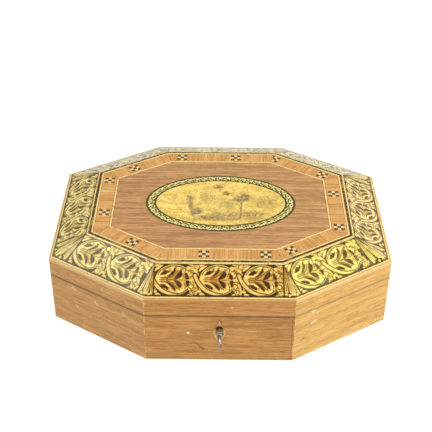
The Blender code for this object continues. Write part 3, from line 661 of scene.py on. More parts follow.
class Drawing:
    """Gold and black laid over each other in order, with fine pen lines on top."""

    def __init__(self, x, y):
        self.x = x
        self.y = y
        self.gold = np.full(x.shape, -FAR)
        self.pen = np.full(x.shape, FAR)
        self.tone = np.zeros(x.shape)

    def gild(self, depth, outline=True, tone=0.0):
        """Lay bare wood over what is there, with an outline where it overlaps other gold."""
        self.pen = np.where(depth > 0.15, FAR, self.pen)
        if outline:
            self.pen = np.minimum(self.pen, np.where(self.gold > 0.2, np.abs(depth), FAR))
        cover = np.clip(depth / 0.5 + 0.5, 0, 1)
        self.tone += (tone - self.tone) * cover
        self.gold = np.maximum(self.gold, depth)

    def blacken(self, depth):
        """Lay ink over what is there."""
        self.gold = np.minimum(self.gold, -depth)

    def line(self, depth):
        """A fine pen line."""
        self.pen = np.minimum(self.pen, np.abs(depth))


def shaken(stroke, hand, amount=0.22):
    """The stroke as an unsteady hand would place it."""
    points = [tuple(np.array(point) + hand.uniform(-amount, amount, 2)) for point in stroke[:3]]
    return (*points, *stroke[3:])


def roundel(drawing, centre, squeeze, hand):
    """One roundel of the running scroll: rim, leaf, hollows and the stem that winds into it."""
    near = np.abs(drawing.x - centre) < ROUNDEL_REACH
    part = Drawing((drawing.x[near] - centre) / squeeze, drawing.y[near])
    part.gold = drawing.gold[near]
    part.pen = drawing.pen[near]
    part.tone = drawing.tone[near]
    x, y = part.x, part.y
    part.gild(oval_depth(x, y, *ROUNDEL), tone=0.1)
    for stroke in RIM_LOBES:
        part.gild(brush(x, y, shaken(stroke, hand)), tone=0.4)
    hollow = np.full(x.shape, -FAR)
    for stroke in HOLLOWS:
        hollow = np.maximum(hollow, brush(x, y, shaken(stroke, hand)) - 0.05)
    part.blacken(hollow)
    leaf = np.clip(1 - np.hypot((x + 3) / 9, y / 5), 0, 1)
    heart_of_leaf = 0.65 * np.clip(oval_depth(x, y, 11.5, 10.8) + 0.5, 0, 1)
    part.tone = np.maximum(part.tone, np.maximum(leaf, heart_of_leaf))
    for stroke in CRESCENTS:
        part.gild(brush(x, y, shaken(stroke, hand)), False, tone=0.0)
    for stroke in HEART:
        part.gild(brush(x, y, shaken(stroke, hand)), False, tone=0.45)
    for number, (lobe_x, lobe_y, size) in enumerate(LOBES):
        where = np.array((lobe_x, lobe_y)) + hand.uniform(-0.4, 0.4, 2)
        lobe = dot(x, y, where, size * hand.uniform(0.8, 1.0))
        part.gild(lobe, number % 2 == 0, tone=(0.15, 0.6, 0.35)[number % 3])
    for start, turn, end, count, size in TEETH:
        for point in curve(start, turn, end, count) if count > 1 else [turn]:
            where = point + hand.uniform(-0.25, 0.25, 2)
            part.gild(dot(x, y, where, size * hand.uniform(1.0, 1.35)), False, tone=0.25)
    for start, turn, end in VEINS:
        vein = shaken((start, turn, end, (0, 0, 0)), hand)
        part.line(np.where(part.gold > 0.1, brush(x, y, vein), FAR))
    inner = oval_depth(x, y, ROUNDEL[0] - 1.3, ROUNDEL[1] - 1.2)
    rim = (np.abs(y) > 4.5) & (x < 12)
    ticks = np.abs((np.arctan2(y, x) * 12) % 1 - 0.5) * 1.25
    shallow = (inner < 0) & (inner > -0.9) & rim & (y < 0)
    part.pen = np.where(rim, np.minimum(part.pen, np.abs(inner)), part.pen)
    part.pen = np.where(shallow, np.minimum(part.pen, ticks), part.pen)
    stem = np.maximum(*[brush(x, y, stroke) for stroke in STEM])
    part.blacken(np.minimum(stem + 0.6, 0.6 - stem))
    part.gild(stem, False, tone=0.15)
    part.pen = np.where(stem > 0.2, np.abs(1.65 - stem) + 0.2, part.pen)
    drawing.gold[near] = part.gold
    drawing.pen[near] = part.pen
    drawing.tone[near] = part.tone


def sprigs(drawing, centre, squeeze, hand):
    """The small leaves between two roundels."""
    x = (drawing.x - centre) / squeeze
    for stroke in SPRIGS:
        drawing.gild(brush(x, drawing.y, shaken(stroke, hand)), tone=0.1)


def corner_leaves(drawing, line, mitre_ridge, mitre_eave):
    """Beyond an upright line: long pointed leaves fanning out from the ridge to the eave corner."""
    x, y = drawing.x, drawing.y
    outward = 1 if mitre_eave > line else -1
    fall = np.clip((LEAF_TOP - y) / (LEAF_TOP - LEAF_FOOT), 0, 1)
    edge = mitre_ridge + (mitre_eave - mitre_ridge) * fall
    room = np.maximum((edge - line) * outward, 0.3)
    share = (x - line) * outward / room
    beyond = (x - line) * outward > 0
    depth = np.full(x.shape, -FAR)
    for low, high in ((0.05, 0.47), (0.53, 0.97)):
        middle = (low + high) / 2
        plump = (high - low) / 2 * (0.75 + 0.25 * np.sin(fall * math.pi))
        depth = np.maximum(depth, (plump - np.abs(share - middle)) * room)
    depth = np.where(fall > 0.87, -1, depth)
    for place, low, size in ((0.20, 0.91, 1.5), (0.5, 0.94, 1.4), (0.8, 0.91, 1.5)):
        foot_y = LEAF_TOP + (LEAF_FOOT - LEAF_TOP) * low
        foot_x = line + outward * place * abs(mitre_ridge + (mitre_eave - mitre_ridge) * low - line)
        depth = np.maximum(depth, dot(x, y, (foot_x, foot_y), size))
    veins = np.full(x.shape, FAR)
    for place, least_room in ((0.27, 4), (0.75, 4), (0.16, 9), (0.38, 9), (0.63, 9), (0.87, 9)):
        vein = np.abs(share - place) * room
        veins = np.minimum(veins, np.where(room > least_room, vein + 0.1, FAR))
    drawing.gold = np.where(beyond, depth, drawing.gold)
    drawing.pen = np.where(beyond, np.where(fall < 0.86, veins, FAR), drawing.pen)
    drawing.tone = np.where(beyond, 0.55 - 0.4 * fall, drawing.tone)
    drawing.blacken(0.5 - np.abs(x - line))


def scroll_drawing(side, along, down, seed):
    """The whole band: roundels between two upright lines, and pointed leaves in the corners."""
    hand = np.random.default_rng(seed)
    drawing = Drawing(along, ROUNDEL_DOWN - down)
    half, run = side.half / MM, SLOPE_RUN / MM
    ridge_start = -half + run * math.tan(side.start_turn / 2)
    ridge_end = half - run * math.tan(side.end_turn / 2)
    start_line = ridge_start - START_LINE_GAP
    end_line = ridge_end - END_LINE_GAP
    first = start_line + FIRST_ROUNDEL
    reach = end_line - LAST_ROUNDEL - first
    count = round(reach / ROUNDEL_PITCH) + 1
    squeeze = min(1.0, reach / (ROUNDEL_PITCH * (count - 1)))
    centres = [first + number * ROUNDEL_PITCH * squeeze for number in range(count)]
    for centre in [first - ROUNDEL_PITCH * squeeze] + centres:
        sprigs(drawing, centre, squeeze, hand)
    for centre in centres:
        roundel(drawing, centre, squeeze, hand)
    corner_leaves(drawing, start_line, ridge_start, -half)
    corner_leaves(drawing, end_line, ridge_end, half)
    return drawing


# Light gold, dark gold, ink and worn ink, given side by side as painted light: warmest and darkest in
# front, brighter and yellower on the sides, most on the front right where the light from the right
# falls, and paled at the back by a painted sheen
PENWORK_WITH_PAINTED_LIGHT = {
    "front": ((0.88, 0.60, 0.16), (0.46, 0.20, 0.025), (0.036, 0.020, 0.003), (0.10, 0.05, 0.010)),
    "front_right": ((0.92, 0.74, 0.20), (0.58, 0.40, 0.07), (0.080, 0.060, 0.020), (0.18, 0.14, 0.05)),
    "right": ((0.85, 0.67, 0.28), (0.56, 0.39, 0.11), (0.090, 0.069, 0.036), (0.19, 0.147, 0.08)),
    "left": ((0.94, 0.76, 0.28), (0.62, 0.44, 0.11), (0.100, 0.078, 0.036), (0.21, 0.165, 0.08)),
    "back": ((0.90, 0.76, 0.40), (0.68, 0.54, 0.24), (0.16, 0.135, 0.08), (0.26, 0.22, 0.14)),
}


def penwork_finish(side):
    """Penwork on pale wood under varnish, from the drawing on the mesh, in its side's colours with
    painted light.
    """
    # The back sides take the back's colours with their painted sheen; the other sides without colours
    # of their own take the left's
    alike = "back" if side.name.startswith("back") else "left"
    light, dark, ink, worn_ink = PENWORK_WITH_PAINTED_LIGHT.get(side.name, PENWORK_WITH_PAINTED_LIGHT[alike])

    def paint(spot):
        gold = attribute(spot, "gold")
        pen = attribute(spot, "pen")
        tone = attribute(spot, "tone")
        cloud = noise(spot, (7, 5, 5), 3, 0.6, 4)
        bright = noise(spot, (1.5, 1.1, 1.1), 2, 0.6, 12)
        colour = mix(step_up(tone + (cloud - 0.5) * 1.1 + (bright - 0.5) * 1.9, -0.1, 0.9), light, dark)
        rim = 1 - step_up(gold, 0.1, 1.2)
        colour = mix(rim * 0.6, colour, [channel * 0.45 for channel in dark])
        line = (1 - step_up(pen, 0.16, 0.62)) * 0.9
        colour = mix(line, colour, worn_ink)
        ragged = (noise(spot, 0.7, 2, 0.5, 5) - 0.5) * 0.4
        black = 1 - step_up(gold + ragged, -0.08, 0.12)
        thin = noise(spot, 6, 4, 0.6, 9)
        ground = mix(step_up(thin, 0.4, 0.75), ink, worn_ink)
        return {"Base Color": mix(black, colour, ground), "Roughness": 0.26 + thin * 0.14}
    return finish(f"Penwork {side.name}", paint, side.angle, side.middle, gloss=0.2)


# Modelling, as by hand

FLAT_ANGLE = math.radians(0.5)
SMOOTH_ANGLE = math.radians(35)
SHARP_ANGLE = math.radians(36)


def deselect():
    bpy.ops.object.select_all(action="DESELECT")


def take(piece):
    """Select one object alone."""
    deselect()
    piece.select_set(True)
    bpy.context.view_layer.objects.active = piece


def open_edit(piece, mode="VERT"):
    """Start editing with everything selected."""
    take(piece)
    bpy.ops.object.mode_set(mode="EDIT")
    bpy.ops.mesh.select_mode(type=mode)
    bpy.ops.mesh.select_all(action="SELECT")


def close_edit():
    bpy.ops.object.mode_set(mode="OBJECT")


def settle(piece):
    """Put the piece's place into its mesh."""
    take(piece)
    bpy.ops.object.transform_apply(location=True, rotation=True, scale=True)


def modify(piece, kind, **settings):
    """Add a modifier and apply it."""
    take(piece)
    modifier = piece.modifiers.new(kind.title(), kind)
    for name, setting in settings.items():
        setattr(modifier, name, setting)
    bpy.ops.object.modifier_apply(modifier=modifier.name)


def ease(piece, width, segments=2, round_faces=False):
    """Round the edges over a little; round faces are smoothed and the flat ones stay flat."""
    if round_faces:
        take(piece)
        bpy.ops.object.shade_smooth_by_angle(angle=SMOOTH_ANGLE)
    modify(
        piece,
        "BEVEL",
        width=width,
        segments=segments,
        limit_method="ANGLE",
        angle_limit=SHARP_ANGLE,
        harden_normals=round_faces,
    )


def hand_over(piece, name, material, slot, body, *nodes):
    """Name the piece, give it its finish and its body, and let it stand for its nodes."""
    piece.name = name
    piece.data.name = name
    piece.data.materials.clear()
    piece.data.materials.append(material)
    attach(piece, body)
    if nodes:
        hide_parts(*nodes)


def copy_of(node):
    """A merged copy of a node's own mesh."""
    piece = bpy.data.objects.new(node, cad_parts[node].data.copy())
    bpy.context.scene.collection.objects.link(piece)
    take(piece)
    bpy.ops.mesh.customdata_custom_splitnormals_clear()
    open_edit(piece)
    bpy.ops.mesh.remove_doubles(threshold=WELD)
    bpy.ops.mesh.dissolve_limited(angle_limit=FLAT_ANGLE)
    close_edit()
    return piece


def dress(node, name, edge, finished, body, side=None, level=None, grown=None, holes=()):
    """The node's own shape with eased edges and a finish, drawn out where its seams show.

    What it is finished with is a material and the material's slot.
    """
    material, slot = finished
    piece = copy_of(node)
    for place, turn in holes:
        countersink(piece, place, turn)
    if side:
        draw_out(piece, side)
    if level:
        shift_level(piece, *level)
    if grown:
        close_up(piece, grown)
    ease(piece, edge, round_faces=slot in ("brass", "steel"))
    hand_over(piece, name, material, slot, body, node)


def draw_out(piece, side):
    """Draw a mitred piece out along its side until its joints are all but closed."""
    along = Vector((math.cos(side.angle), math.sin(side.angle), 0))
    axes = (along, Vector((0, 0, 1)).cross(along), (0, 0, 1))
    open_edit(piece)
    bpy.ops.transform.resize(
        value=(1 + (SEAM - CLOSED_JOINT) / (2 * side.half), 1, 1),
        orient_type="GLOBAL",
        orient_matrix=axes,
        orient_matrix_type="GLOBAL",
        center_override=(*side.middle, 0),
    )
    close_edit()


def close_up(piece, grown):
    """Let a piece fill its seams: it grows by a small factor along each axis, from its middle."""
    corners = [Vector(corner) for corner in piece.bound_box]
    middle = (corners[0] + corners[6]) / 2
    open_edit(piece)
    bpy.ops.transform.resize(value=grown, center_override=middle)
    close_edit()


def shift_level(piece, height, lift):
    """Move the part of the piece that lies at one height up or down."""
    open_edit(piece)
    bpy.ops.mesh.select_all(action="DESELECT")
    close_edit()
    for vertex in piece.data.vertices:
        vertex.select = abs(vertex.co.z - height) < WELD
    bpy.ops.object.mode_set(mode="EDIT")
    bpy.ops.transform.translate(value=(0, 0, lift))
    close_edit()


def select_rim():
    """Select the open edges of the sheet being edited."""
    bpy.ops.mesh.select_all(action="DESELECT")
    bpy.ops.mesh.select_non_manifold(
        extend=False,
        use_wire=False,
        use_boundary=True,
        use_multi_face=False,
        use_non_contiguous=False,
        use_verts=False,
    )


def thicken(drop, ring=False):
    """Make the sheet being edited a plate: its rim goes straight down and its underside is filled."""
    bpy.ops.mesh.select_mode(type="EDGE")
    select_rim()
    bpy.ops.mesh.extrude_edges_move(TRANSFORM_OT_translate={"value": (0, 0, -drop)})
    if ring:
        bpy.ops.mesh.bridge_edge_loops()
    else:
        bpy.ops.mesh.edge_face_add()
    bpy.ops.mesh.select_all(action="SELECT")
    bpy.ops.mesh.normals_make_consistent(inside=False)


def places(piece):
    """The places of the mesh's points, one row each."""
    points = np.zeros(len(piece.data.vertices) * 3)
    piece.data.vertices.foreach_get("co", points)
    return points.reshape(-1, 3)


def paint_on(piece, **layers):
    """Keep values on the mesh's points for its finish."""
    for name, values in layers.items():
        layer = piece.data.attributes.new(name, "FLOAT", "POINT")
        layer.data.foreach_set("value", np.clip(values, -9, 9).astype(np.float32))


# Lid


def saw_mitres(piece, side, gap, close=False):
    """Saw off what runs past the side's mitres, half a gap short of each."""
    turned = Matrix.Rotation(side.angle, 3, "Z")
    for end, turn in ((-1, side.start_turn), (1, side.end_turn)):
        normal = Vector((end * math.cos(turn / 2), math.sin(turn / 2), 0))
        corner = side_place(side) @ (Vector((end * side.half, 0, 0)) - normal * gap / 2)
        open_edit(piece)
        bpy.ops.mesh.bisect(
            plane_co=corner, plane_no=turned @ normal, clear_outer=True, use_fill=close, threshold=WELD
        )
        close_edit()


def scroll_band(side, seed):
    """One decorated veneer: a fine sheet laid on the slope, sawn to its mitres and thickened."""
    run = BAND_IN - BAND_OUT
    middle = (BAND_OUT + BAND_IN) / 2
    face = side_place(side) @ Vector((0, middle, EAVE_Z + middle * SLOPE_RISE / SLOPE_RUN))
    width = run * SLOPE_LENGTH / SLOPE_RUN
    deselect()
    bpy.ops.mesh.primitive_grid_add(
        x_subdivisions=round(2 * side.half / PEN_GRID),
        y_subdivisions=round(width / PEN_GRID),
        size=1,
        location=face,
        rotation=(PITCH, 0, side.angle),
    )
    piece = bpy.context.object
    piece.scale = (2 * side.half, width, 1)
    settle(piece)
    saw_mitres(piece, side, CLOSED_JOINT)
    open_edit(piece)
    thicken(VENEER * SLOPE_LENGTH / SLOPE_RUN)
    close_edit()
    place = side_place(side)
    along, inwards, _ = ((places(piece) - np.array(place.translation)) @ np.array(place.to_3x3())).T
    down = (SLOPE_RUN - inwards) * SLOPE_LENGTH / SLOPE_RUN
    drawing = scroll_drawing(side, along / MM, down / MM, seed)
    paint_on(piece, gold=drawing.gold, pen=drawing.pen, tone=drawing.tone)
    node = f"scroll_band_{side.name}"
    hand_over(piece, f"band_{side.name}", penwork_finish(side), "scroll_band", "lid", node)


def lid(sides, veneers):
    """Everything that turns with the lid, apart from the oval."""
    line = (line_finish(), "boxwood")
    gain = SEAM - CLOSED_JOINT
    top = (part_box("lid_skirt_front")[1].z, gain)
    underside = (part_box("eave_edging")[0].z, -gain)
    for seed, (side, veneer) in enumerate(zip(sides, veneers), 1):
        name = side.name
        skirt = (veneer, "side_veneer")
        slope = (veneer, "carcase")
        strip = (crossband_finish(side), "crossbanding")
        dress(f"lid_skirt_{name}", f"skirt_{name}", PLATE_EDGE, skirt, "lid", side, top)
        dress(f"lid_slope_{name}", f"slope_{name}", PLATE_EDGE, slope, "lid", side)
        scroll_band(side, seed)
        dress(f"crossband_{name}", f"crossbanding_{name}", VENEER_EDGE, strip, "lid")
    edging = (edging_finish(), "boxwood")
    dress("eave_edging", "edging_at_eave", EAVE_EDGE, edging, "lid", level=underside)
    for node in ("slope_string", "outer_string", "inner_string"):
        dress(node, f"{node}_line", LINE_EDGE, line, "lid")
    dress("ridge_line", "black_ridge_line", RIDGE_EDGE, (ebony_finish(), "ebony"), "lid")
    dress("lid_top_board", "top_board", TOP_EDGE, (board_finish(), "carcase"), "lid")
    dress("centre_panel", "panel", VENEER_EDGE, (panel_finish(), "panel_veneer"), "lid")


# Chequers

CHEQUER = 0.0094
CHEQUER_PITCH = 0.0530
TILE_SEAM = 0.00012
CHEQUER_START = {
    "front": 0.0368,
    "front_right": 0.0123,
    "right": 0.0067,
    "back_right": 0.0096,
    "back": 0.0361,
    "back_left": 0.0391,
    "left": 0.0082,
    "front_left": 0.0345,
}


def chequer_places(side):
    """Where the chequers fall on one strip of crossbanding, from the middle of the side."""
    middle_inset = (CROSSBAND_OUT + CROSSBAND_IN) / 2
    start_mitre = -side.half + middle_inset * math.tan(side.start_turn / 2)
    end_mitre = side.half - middle_inset * math.tan(side.end_turn / 2)
    found = []
    place_along = start_mitre + CHEQUER_START[side.name]
    while place_along <= end_mitre - CHEQUER / 4:
        found.append(place_along)
        place_along += CHEQUER_PITCH
    return found


def tile(side, along, inset):
    """One small square of wood, let in level with the crossbanding."""
    width = CHEQUER / 3 - TILE_SEAM
    deselect()
    bpy.ops.mesh.primitive_cube_add(
        size=1,
        location=side_place(side) @ Vector((along, inset, TOP_Z - VENEER / 2)),
        rotation=(0, 0, side.angle),
        scale=(width, width, VENEER),
    )
    piece = bpy.context.object
    settle(piece)
    ease(piece, LINE_EDGE, 1)
    return piece


def join(parts):
    """Make several parts one mesh."""
    deselect()
    for part in parts:
        part.select_set(True)
    bpy.context.view_layer.objects.active = parts[0]
    bpy.ops.object.join()
    return bpy.context.object


def chequers(sides):
    """Thirteen chequers of nine tiles: five dark ones and four pale ones."""
    finishes = {
        "dark": tile_finish("Dark tile", (0.14, 0.080, 0.028), (0.045, 0.028, 0.012)),
        "light": tile_finish("Pale tile", (0.80, 0.60, 0.28), (0.58, 0.39, 0.15)),
    }
    middle_inset = (CROSSBAND_OUT + CROSSBAND_IN) / 2
    for side in sides:
        for number, place_along in enumerate(chequer_places(side), 1):
            tiles = {"dark": [], "light": []}
            for row in (-1, 0, 1):
                for column in (-1, 0, 1):
                    along = place_along + column * CHEQUER / 3
                    kind = "light" if (row + column) % 2 else "dark"
                    tiles[kind].append(tile(side, along, middle_inset + row * CHEQUER / 3))
            for kind, parts in tiles.items():
                piece = join(parts)
                saw_mitres(piece, side, SEAM, close=True)
                name = f"chequer_{side.name}_{number}_{kind}"
                hand_over(piece, name, finishes[kind], f"chequer_{kind}", "lid")


# Oval


BORDER_MOTIFS = 45
BORDER_ROUND = 324
BORDER_CURL = [
    ((-2.9, -2.6), (-3.4, 2.4), (0.4, 2.3), (0.45, 0.85, 0.75)),
    ((0.4, 2.3), (2.4, 1.4), (0.9, -0.3), (0.7, 0.6, 0.55)),
    ((-1.2, -2.5), (1.2, -2.9), (2.6, -1.2), (0.5, 0.75, 0.5)),
]
BORDER_BEADS = [(-0.9, -0.1), (3.0, 1.7)]
BEAD = 0.95
PICTURE_CORE = 0.02


def oval_sheet(outer, inner, rings, points):
    """A sheet between two ovals, or a full one, drawn in ring after ring."""
    deselect()
    centre = (0, 0, TOP_Z)
    bpy.ops.mesh.primitive_circle_add(vertices=points, radius=1, fill_type="NOTHING", location=centre)
    piece = bpy.context.object
    open_edit(piece, "EDGE")
    bpy.ops.transform.resize(value=(*outer, 1), center_override=centre)
    here = outer
    for ring in range(1, rings + 1):
        there = [far + (near - far) * ring / rings for far, near in zip(outer, inner)]
        shrink = (there[0] / here[0], there[1] / here[1], 1)
        bpy.ops.mesh.extrude_edges_move(TRANSFORM_OT_translate={"value": (0, 0, 0)})
        bpy.ops.transform.resize(value=shrink, center_override=centre)
        here = there
    return piece


def arc_share(x, y, half_x, half_y):
    """How far round the oval each spot lies, 0 to 1, measured along its rim."""
    turns = np.linspace(0, math.tau, 721)
    steps = np.hypot(half_x * np.sin(turns), half_y * np.cos(turns))
    travel = np.concatenate(([0], np.cumsum((steps[1:] + steps[:-1]) / 2)))
    angle = np.arctan2(y / half_y, x / half_x) % math.tau
    return np.interp(angle, turns, travel / travel[-1])


def border_drawing(piece):
    """Curled leaves and beads running round between two dark lines."""
    x, y = (places(piece)[:, :2] / MM).T
    half_x, half_y = (OVAL_X - OVAL_BORDER / 2) / MM, (OVAL_Y - OVAL_BORDER / 2) / MM
    pitch = BORDER_ROUND / BORDER_MOTIFS
    round_share = arc_share(x, y, half_x, half_y) * BORDER_MOTIFS
    along = (round_share % 1 - 0.5) * pitch
    across = -oval_depth(x, y, half_x, half_y)
    drawing = Drawing(along, across)
    for shift in (-pitch, 0, pitch):
        for stroke in BORDER_CURL:
            drawing.gild(brush(along - shift, across, stroke) - 0.12)
        for bead in BORDER_BEADS:
            drawing.gild(dot(along - shift, across, bead, BEAD))
    return drawing


def border_finish():
    """Dark brown-black ground with yellow-green curls."""
    def paint(spot):
        gold = attribute(spot, "gold")
        pen = attribute(spot, "pen")
        haze = noise(spot, 8, 3, 0.6)
        fine = noise(spot, 0.9, 2, 0.6, 3)
        leaf = mix(haze, (0.50, 0.42, 0.11), (0.88, 0.79, 0.33))
        leaf = mix(1 - step_up(pen, 0.1, 0.3), leaf, (0.13, 0.09, 0.02))
        ground = mix(haze, (0.044, 0.034, 0.011), (0.110, 0.082, 0.024))
        ink = 1 - step_up(gold + (fine - 0.5) * 0.5, -0.12, 0.15)
        return {"Base Color": mix(ink, leaf, ground), "Roughness": 0.28 + haze * 0.1}
    return finish("Oval border", paint, gloss=0.25)


def blob(x, y, centre, half_x, half_y, edge):
    """A soft patch, 1 in the middle and 0 outside."""
    share = np.hypot((x - centre[0]) / half_x, (y - centre[1]) / half_y)
    return np.clip((1 + edge - share) / (2 * edge), 0, 1)


def soft(x, y, stroke, edge):
    """A brush stroke with a soft edge, 1 inside and 0 outside."""
    return np.clip(brush(x, y, stroke) / (2 * edge) + 0.5, 0, 1)


# Patches of the picture in millimetres: middle, half sizes, softness and strength
SHADE = [
    ((19, 6), 7.2, 5.2, 0.25, 0.95),
    ((23, 10), 4.6, 4.6, 0.3, 0.85),
    ((12.5, 4.5), 4.5, 2.6, 0.4, 0.7),
    ((-28.5, 5), 3.0, 5.5, 0.4, 0.8),
    ((-21.7, -14.5), 5.6, 5.2, 0.35, 0.85),
    ((0, -26), 33, 3.4, 0.45, 0.6),
    ((4, -19), 13, 6.5, 0.5, 0.62),
    ((27, -19), 11, 6, 0.6, 0.5),
    ((-14, -24), 9, 3.2, 0.5, 0.65),
    ((6, -2), 8, 6.5, 0.6, 0.42),
    ((-12, 6), 6, 5, 0.7, 0.22),
]
STAINS = [
    ((-2.5, 26), 5.0, 3.2, 0.3, 0.9),
    ((0.5, 23.5), 2.4, 2.6, 0.4, 0.9),
    ((5, 14.5), 3.6, 4.0, 0.35, 1.0),
    ((-16, 8), 9, 9, 0.8, 0.35),
    ((42, 2), 12, 9, 0.8, 0.65),
    ((30, -20), 10, 5, 0.7, 0.6),
    ((-12, -25), 8, 3, 0.6, 0.7),
]
# Its tree trunk and its cypress, as brush strokes
TRUNK = ((19.5, 3), (18.4, -10), (18.3, -25), (0.8, 0.7, 1.1))
CYPRESS = ((-30.5, 10), (-27.5, -2), (-24.5, -23), (1.0, 2.4, 1.6))


def patches(x, y, table):
    """The darkest of the patches at each spot."""
    layers = [blob(x, y, *patch) * strength for *patch, strength in table]
    return functools.reduce(np.maximum, layers)


def picture_shade(piece):
    """A worn, generic landscape: a tree, a cypress, bushes and a strip of ground, and brown stains."""
    x, y = (places(piece)[:, :2] / MM).T
    stems = np.maximum(soft(x, y, TRUNK, 0.3) * 0.9, soft(x, y, CYPRESS, 0.9) * 0.75)
    return np.maximum(patches(x, y, SHADE), stems), patches(x, y, STAINS)


def picture_finish():
    """Faded painting on yellow, with specks and rubbed patches."""
    def paint(spot):
        shade = attribute(spot, "shade")
        stain = attribute(spot, "stain")
        fine = noise(spot, 2.3, 3, 0.65)
        medium = noise(spot, 4.5, 3, 0.6, 23)
        coarse = noise(spot, (13, 9, 9), 3, 0.6, 5)
        light = step_up(coarse * 0.5 + medium * 0.5, 0.38, 0.62)
        base = mix(light, (0.62, 0.42, 0.085), (0.88, 0.66, 0.17))
        base = mix(step_up(fine, 0.52, 0.66) * 0.4, base, (0.50, 0.28, 0.06))
        mottle = step_up(fine * 0.6 + medium * 0.4, 0.40, 0.58)
        colour = mix(least(shade * (0.45 + mottle * 0.85), 0.92), base, (0.19, 0.13, 0.065))
        brown = step_up(fine * 0.6 + medium * 0.4, 0.44, 0.56)
        colour = mix(least(stain * (0.15 + brown * 1.0), 0.9), colour, (0.20, 0.085, 0.025))
        specks = step_up(noise(spot, 2.2, 3, 0.6, 17), 0.58, 0.64)
        colour = mix(specks * 0.65, colour, (0.36, 0.17, 0.045))
        dust = step_up(noise(spot, 1.2, 2, 0.6, 27), 0.58, 0.66)
        colour = mix(dust * 0.5, colour, (0.30, 0.16, 0.05))
        return {"Base Color": colour, "Roughness": 0.26 + coarse * 0.12}
    return finish("Oval picture", paint, gloss=0.4)


def oval():
    """The border and the picture, let into the panel."""
    outer = (OVAL_X, OVAL_Y)
    inner = (OVAL_X - OVAL_BORDER, OVAL_Y - OVAL_BORDER)
    border = oval_sheet(outer, inner, rings=22, points=720)
    thicken(VENEER, ring=True)
    close_edit()
    settle(border)
    drawing = border_drawing(border)
    paint_on(border, gold=drawing.gold, pen=drawing.pen)
    hand_over(border, "border_of_oval", border_finish(), "oval_border", "lid", "oval_border")
    rim = (inner[0] - SEAM, inner[1] - SEAM)
    core = (rim[0] * PICTURE_CORE, rim[1] * PICTURE_CORE)
    picture = oval_sheet(rim, core, rings=60, points=300)
    bpy.ops.mesh.edge_face_add()
    thicken(VENEER)
    close_edit()
    settle(picture)
    shade, stain = picture_shade(picture)
    paint_on(picture, shade=shade, stain=stain)
    hand_over(picture, "picture_in_oval", picture_finish(), "oval_picture", "lid", "oval_picture")


# Case, metalwork and key


def case(sides, veneers):
    """The walls and the bottom."""
    for side, veneer in zip(sides, veneers):
        node = f"base_wall_{side.name}"
        dress(node, f"wall_{side.name}", PLATE_EDGE, (veneer, "side_veneer"), "case", side)
    dress("base_bottom", "bottom_board", BOTTOM_EDGE, (board_finish(), "carcase"), "case")
    bone = (bone_finish(), "bone")
    dress("escutcheon", "kite_escutcheon", VENEER_EDGE, bone, "case", grown=(1.02, 1, 1.01))


UP = (0, 0, 0)
DOWN = (math.pi, 0, 0)
INTO_BOX = (-math.pi / 2, 0, 0)
SCREW_DEPTH = 0.0009
SCREW_RADIUS = 0.0013
SCREW_TAPER = 0.55
SCREW_PROUD = 0.00008
SCREW_SLOT = (0.004, 0.00034, 0.0006)
SCREW_EDGE = 0.00004
SINK_ROOM = 0.00003
SLOT_TURN = 0.9
SLOT_DRIFT = 40
LEAF_SCREW_PITCH = 0.010
LEAF_SCREW_INSET = 0.0025
LOCK_SCREW_INSET = 0.0021
LOCK_SCREW_UP = 0.004
LOCK_SCREW_DOWN = 0.006
LINK_SCREW_INSET = 0.004


def cone(place, turn, grown=0.0):
    """A countersunk head without its slot, or the hole for one, with its wide face at the place."""
    outward = Euler(turn).to_matrix() @ Vector((0, 0, 1))
    deselect()
    bpy.ops.mesh.primitive_cone_add(
        vertices=32,
        radius1=SCREW_RADIUS * SCREW_TAPER + grown,
        radius2=SCREW_RADIUS + grown,
        depth=SCREW_DEPTH + grown,
        location=Vector(place) - outward * (SCREW_DEPTH / 2 - SCREW_PROUD),
        rotation=turn,
    )
    return bpy.context.object


def cut(piece, tool):
    """Take the tool's shape out of the piece."""
    modify(piece, "BOOLEAN", operation="DIFFERENCE", solver="EXACT", object=tool)
    bpy.data.objects.remove(tool)


def countersink(piece, place, turn):
    """Bore the hole that a screw's head sits in."""
    cut(piece, cone(place, turn, grown=SINK_ROOM))


def screw_head():
    """One screw's head, seen from above, with its slot sawn across."""
    head = cone((0, 0, 0), UP)
    bpy.ops.mesh.primitive_cube_add(size=1, scale=SCREW_SLOT)
    saw = bpy.context.object
    settle(saw)
    settle(head)
    cut(head, saw)
    ease(head, SCREW_EDGE)
    return head


def drive(head, name, finished, body, screws):
    """Put copies of one screw's head where they belong, each with its slot turned its own way."""
    for number, (place, turn) in enumerate(screws, 1):
        piece = bpy.data.objects.new(name, head.data.copy())
        bpy.context.scene.collection.objects.link(piece)
        slot_turn = Matrix.Rotation(number * SLOT_TURN + place[0] * SLOT_DRIFT, 4, "Z")
        piece.matrix_world = Matrix.Translation(place) @ Euler(turn).to_matrix().to_4x4() @ slot_turn
        settle(piece)
        hand_over(piece, f"{name}_screw_{number}", *finished, body)


def leaf_screws(node, height, turn):
    """Three screws along a hinge leaf."""
    low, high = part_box(node)
    middle = (low.x + high.x) / 2
    shifts = (-LEAF_SCREW_PITCH, 0, LEAF_SCREW_PITCH)
    return [((middle + shift, low.y + LEAF_SCREW_INSET, height), turn) for shift in shifts]


def lock_screws():
    """Four screws in the lock's inner plate and two in its top."""
    low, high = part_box("lock")
    reach = high.x - LOCK_SCREW_INSET
    levels = (low.z + LOCK_SCREW_UP, high.z - LOCK_SCREW_DOWN)
    inner = [((end * reach, high.y, level), INTO_BOX) for end in (-1, 1) for level in levels]
    return inner + [((end * reach, (low.y + high.y) / 2, high.z), UP) for end in (-1, 1)]


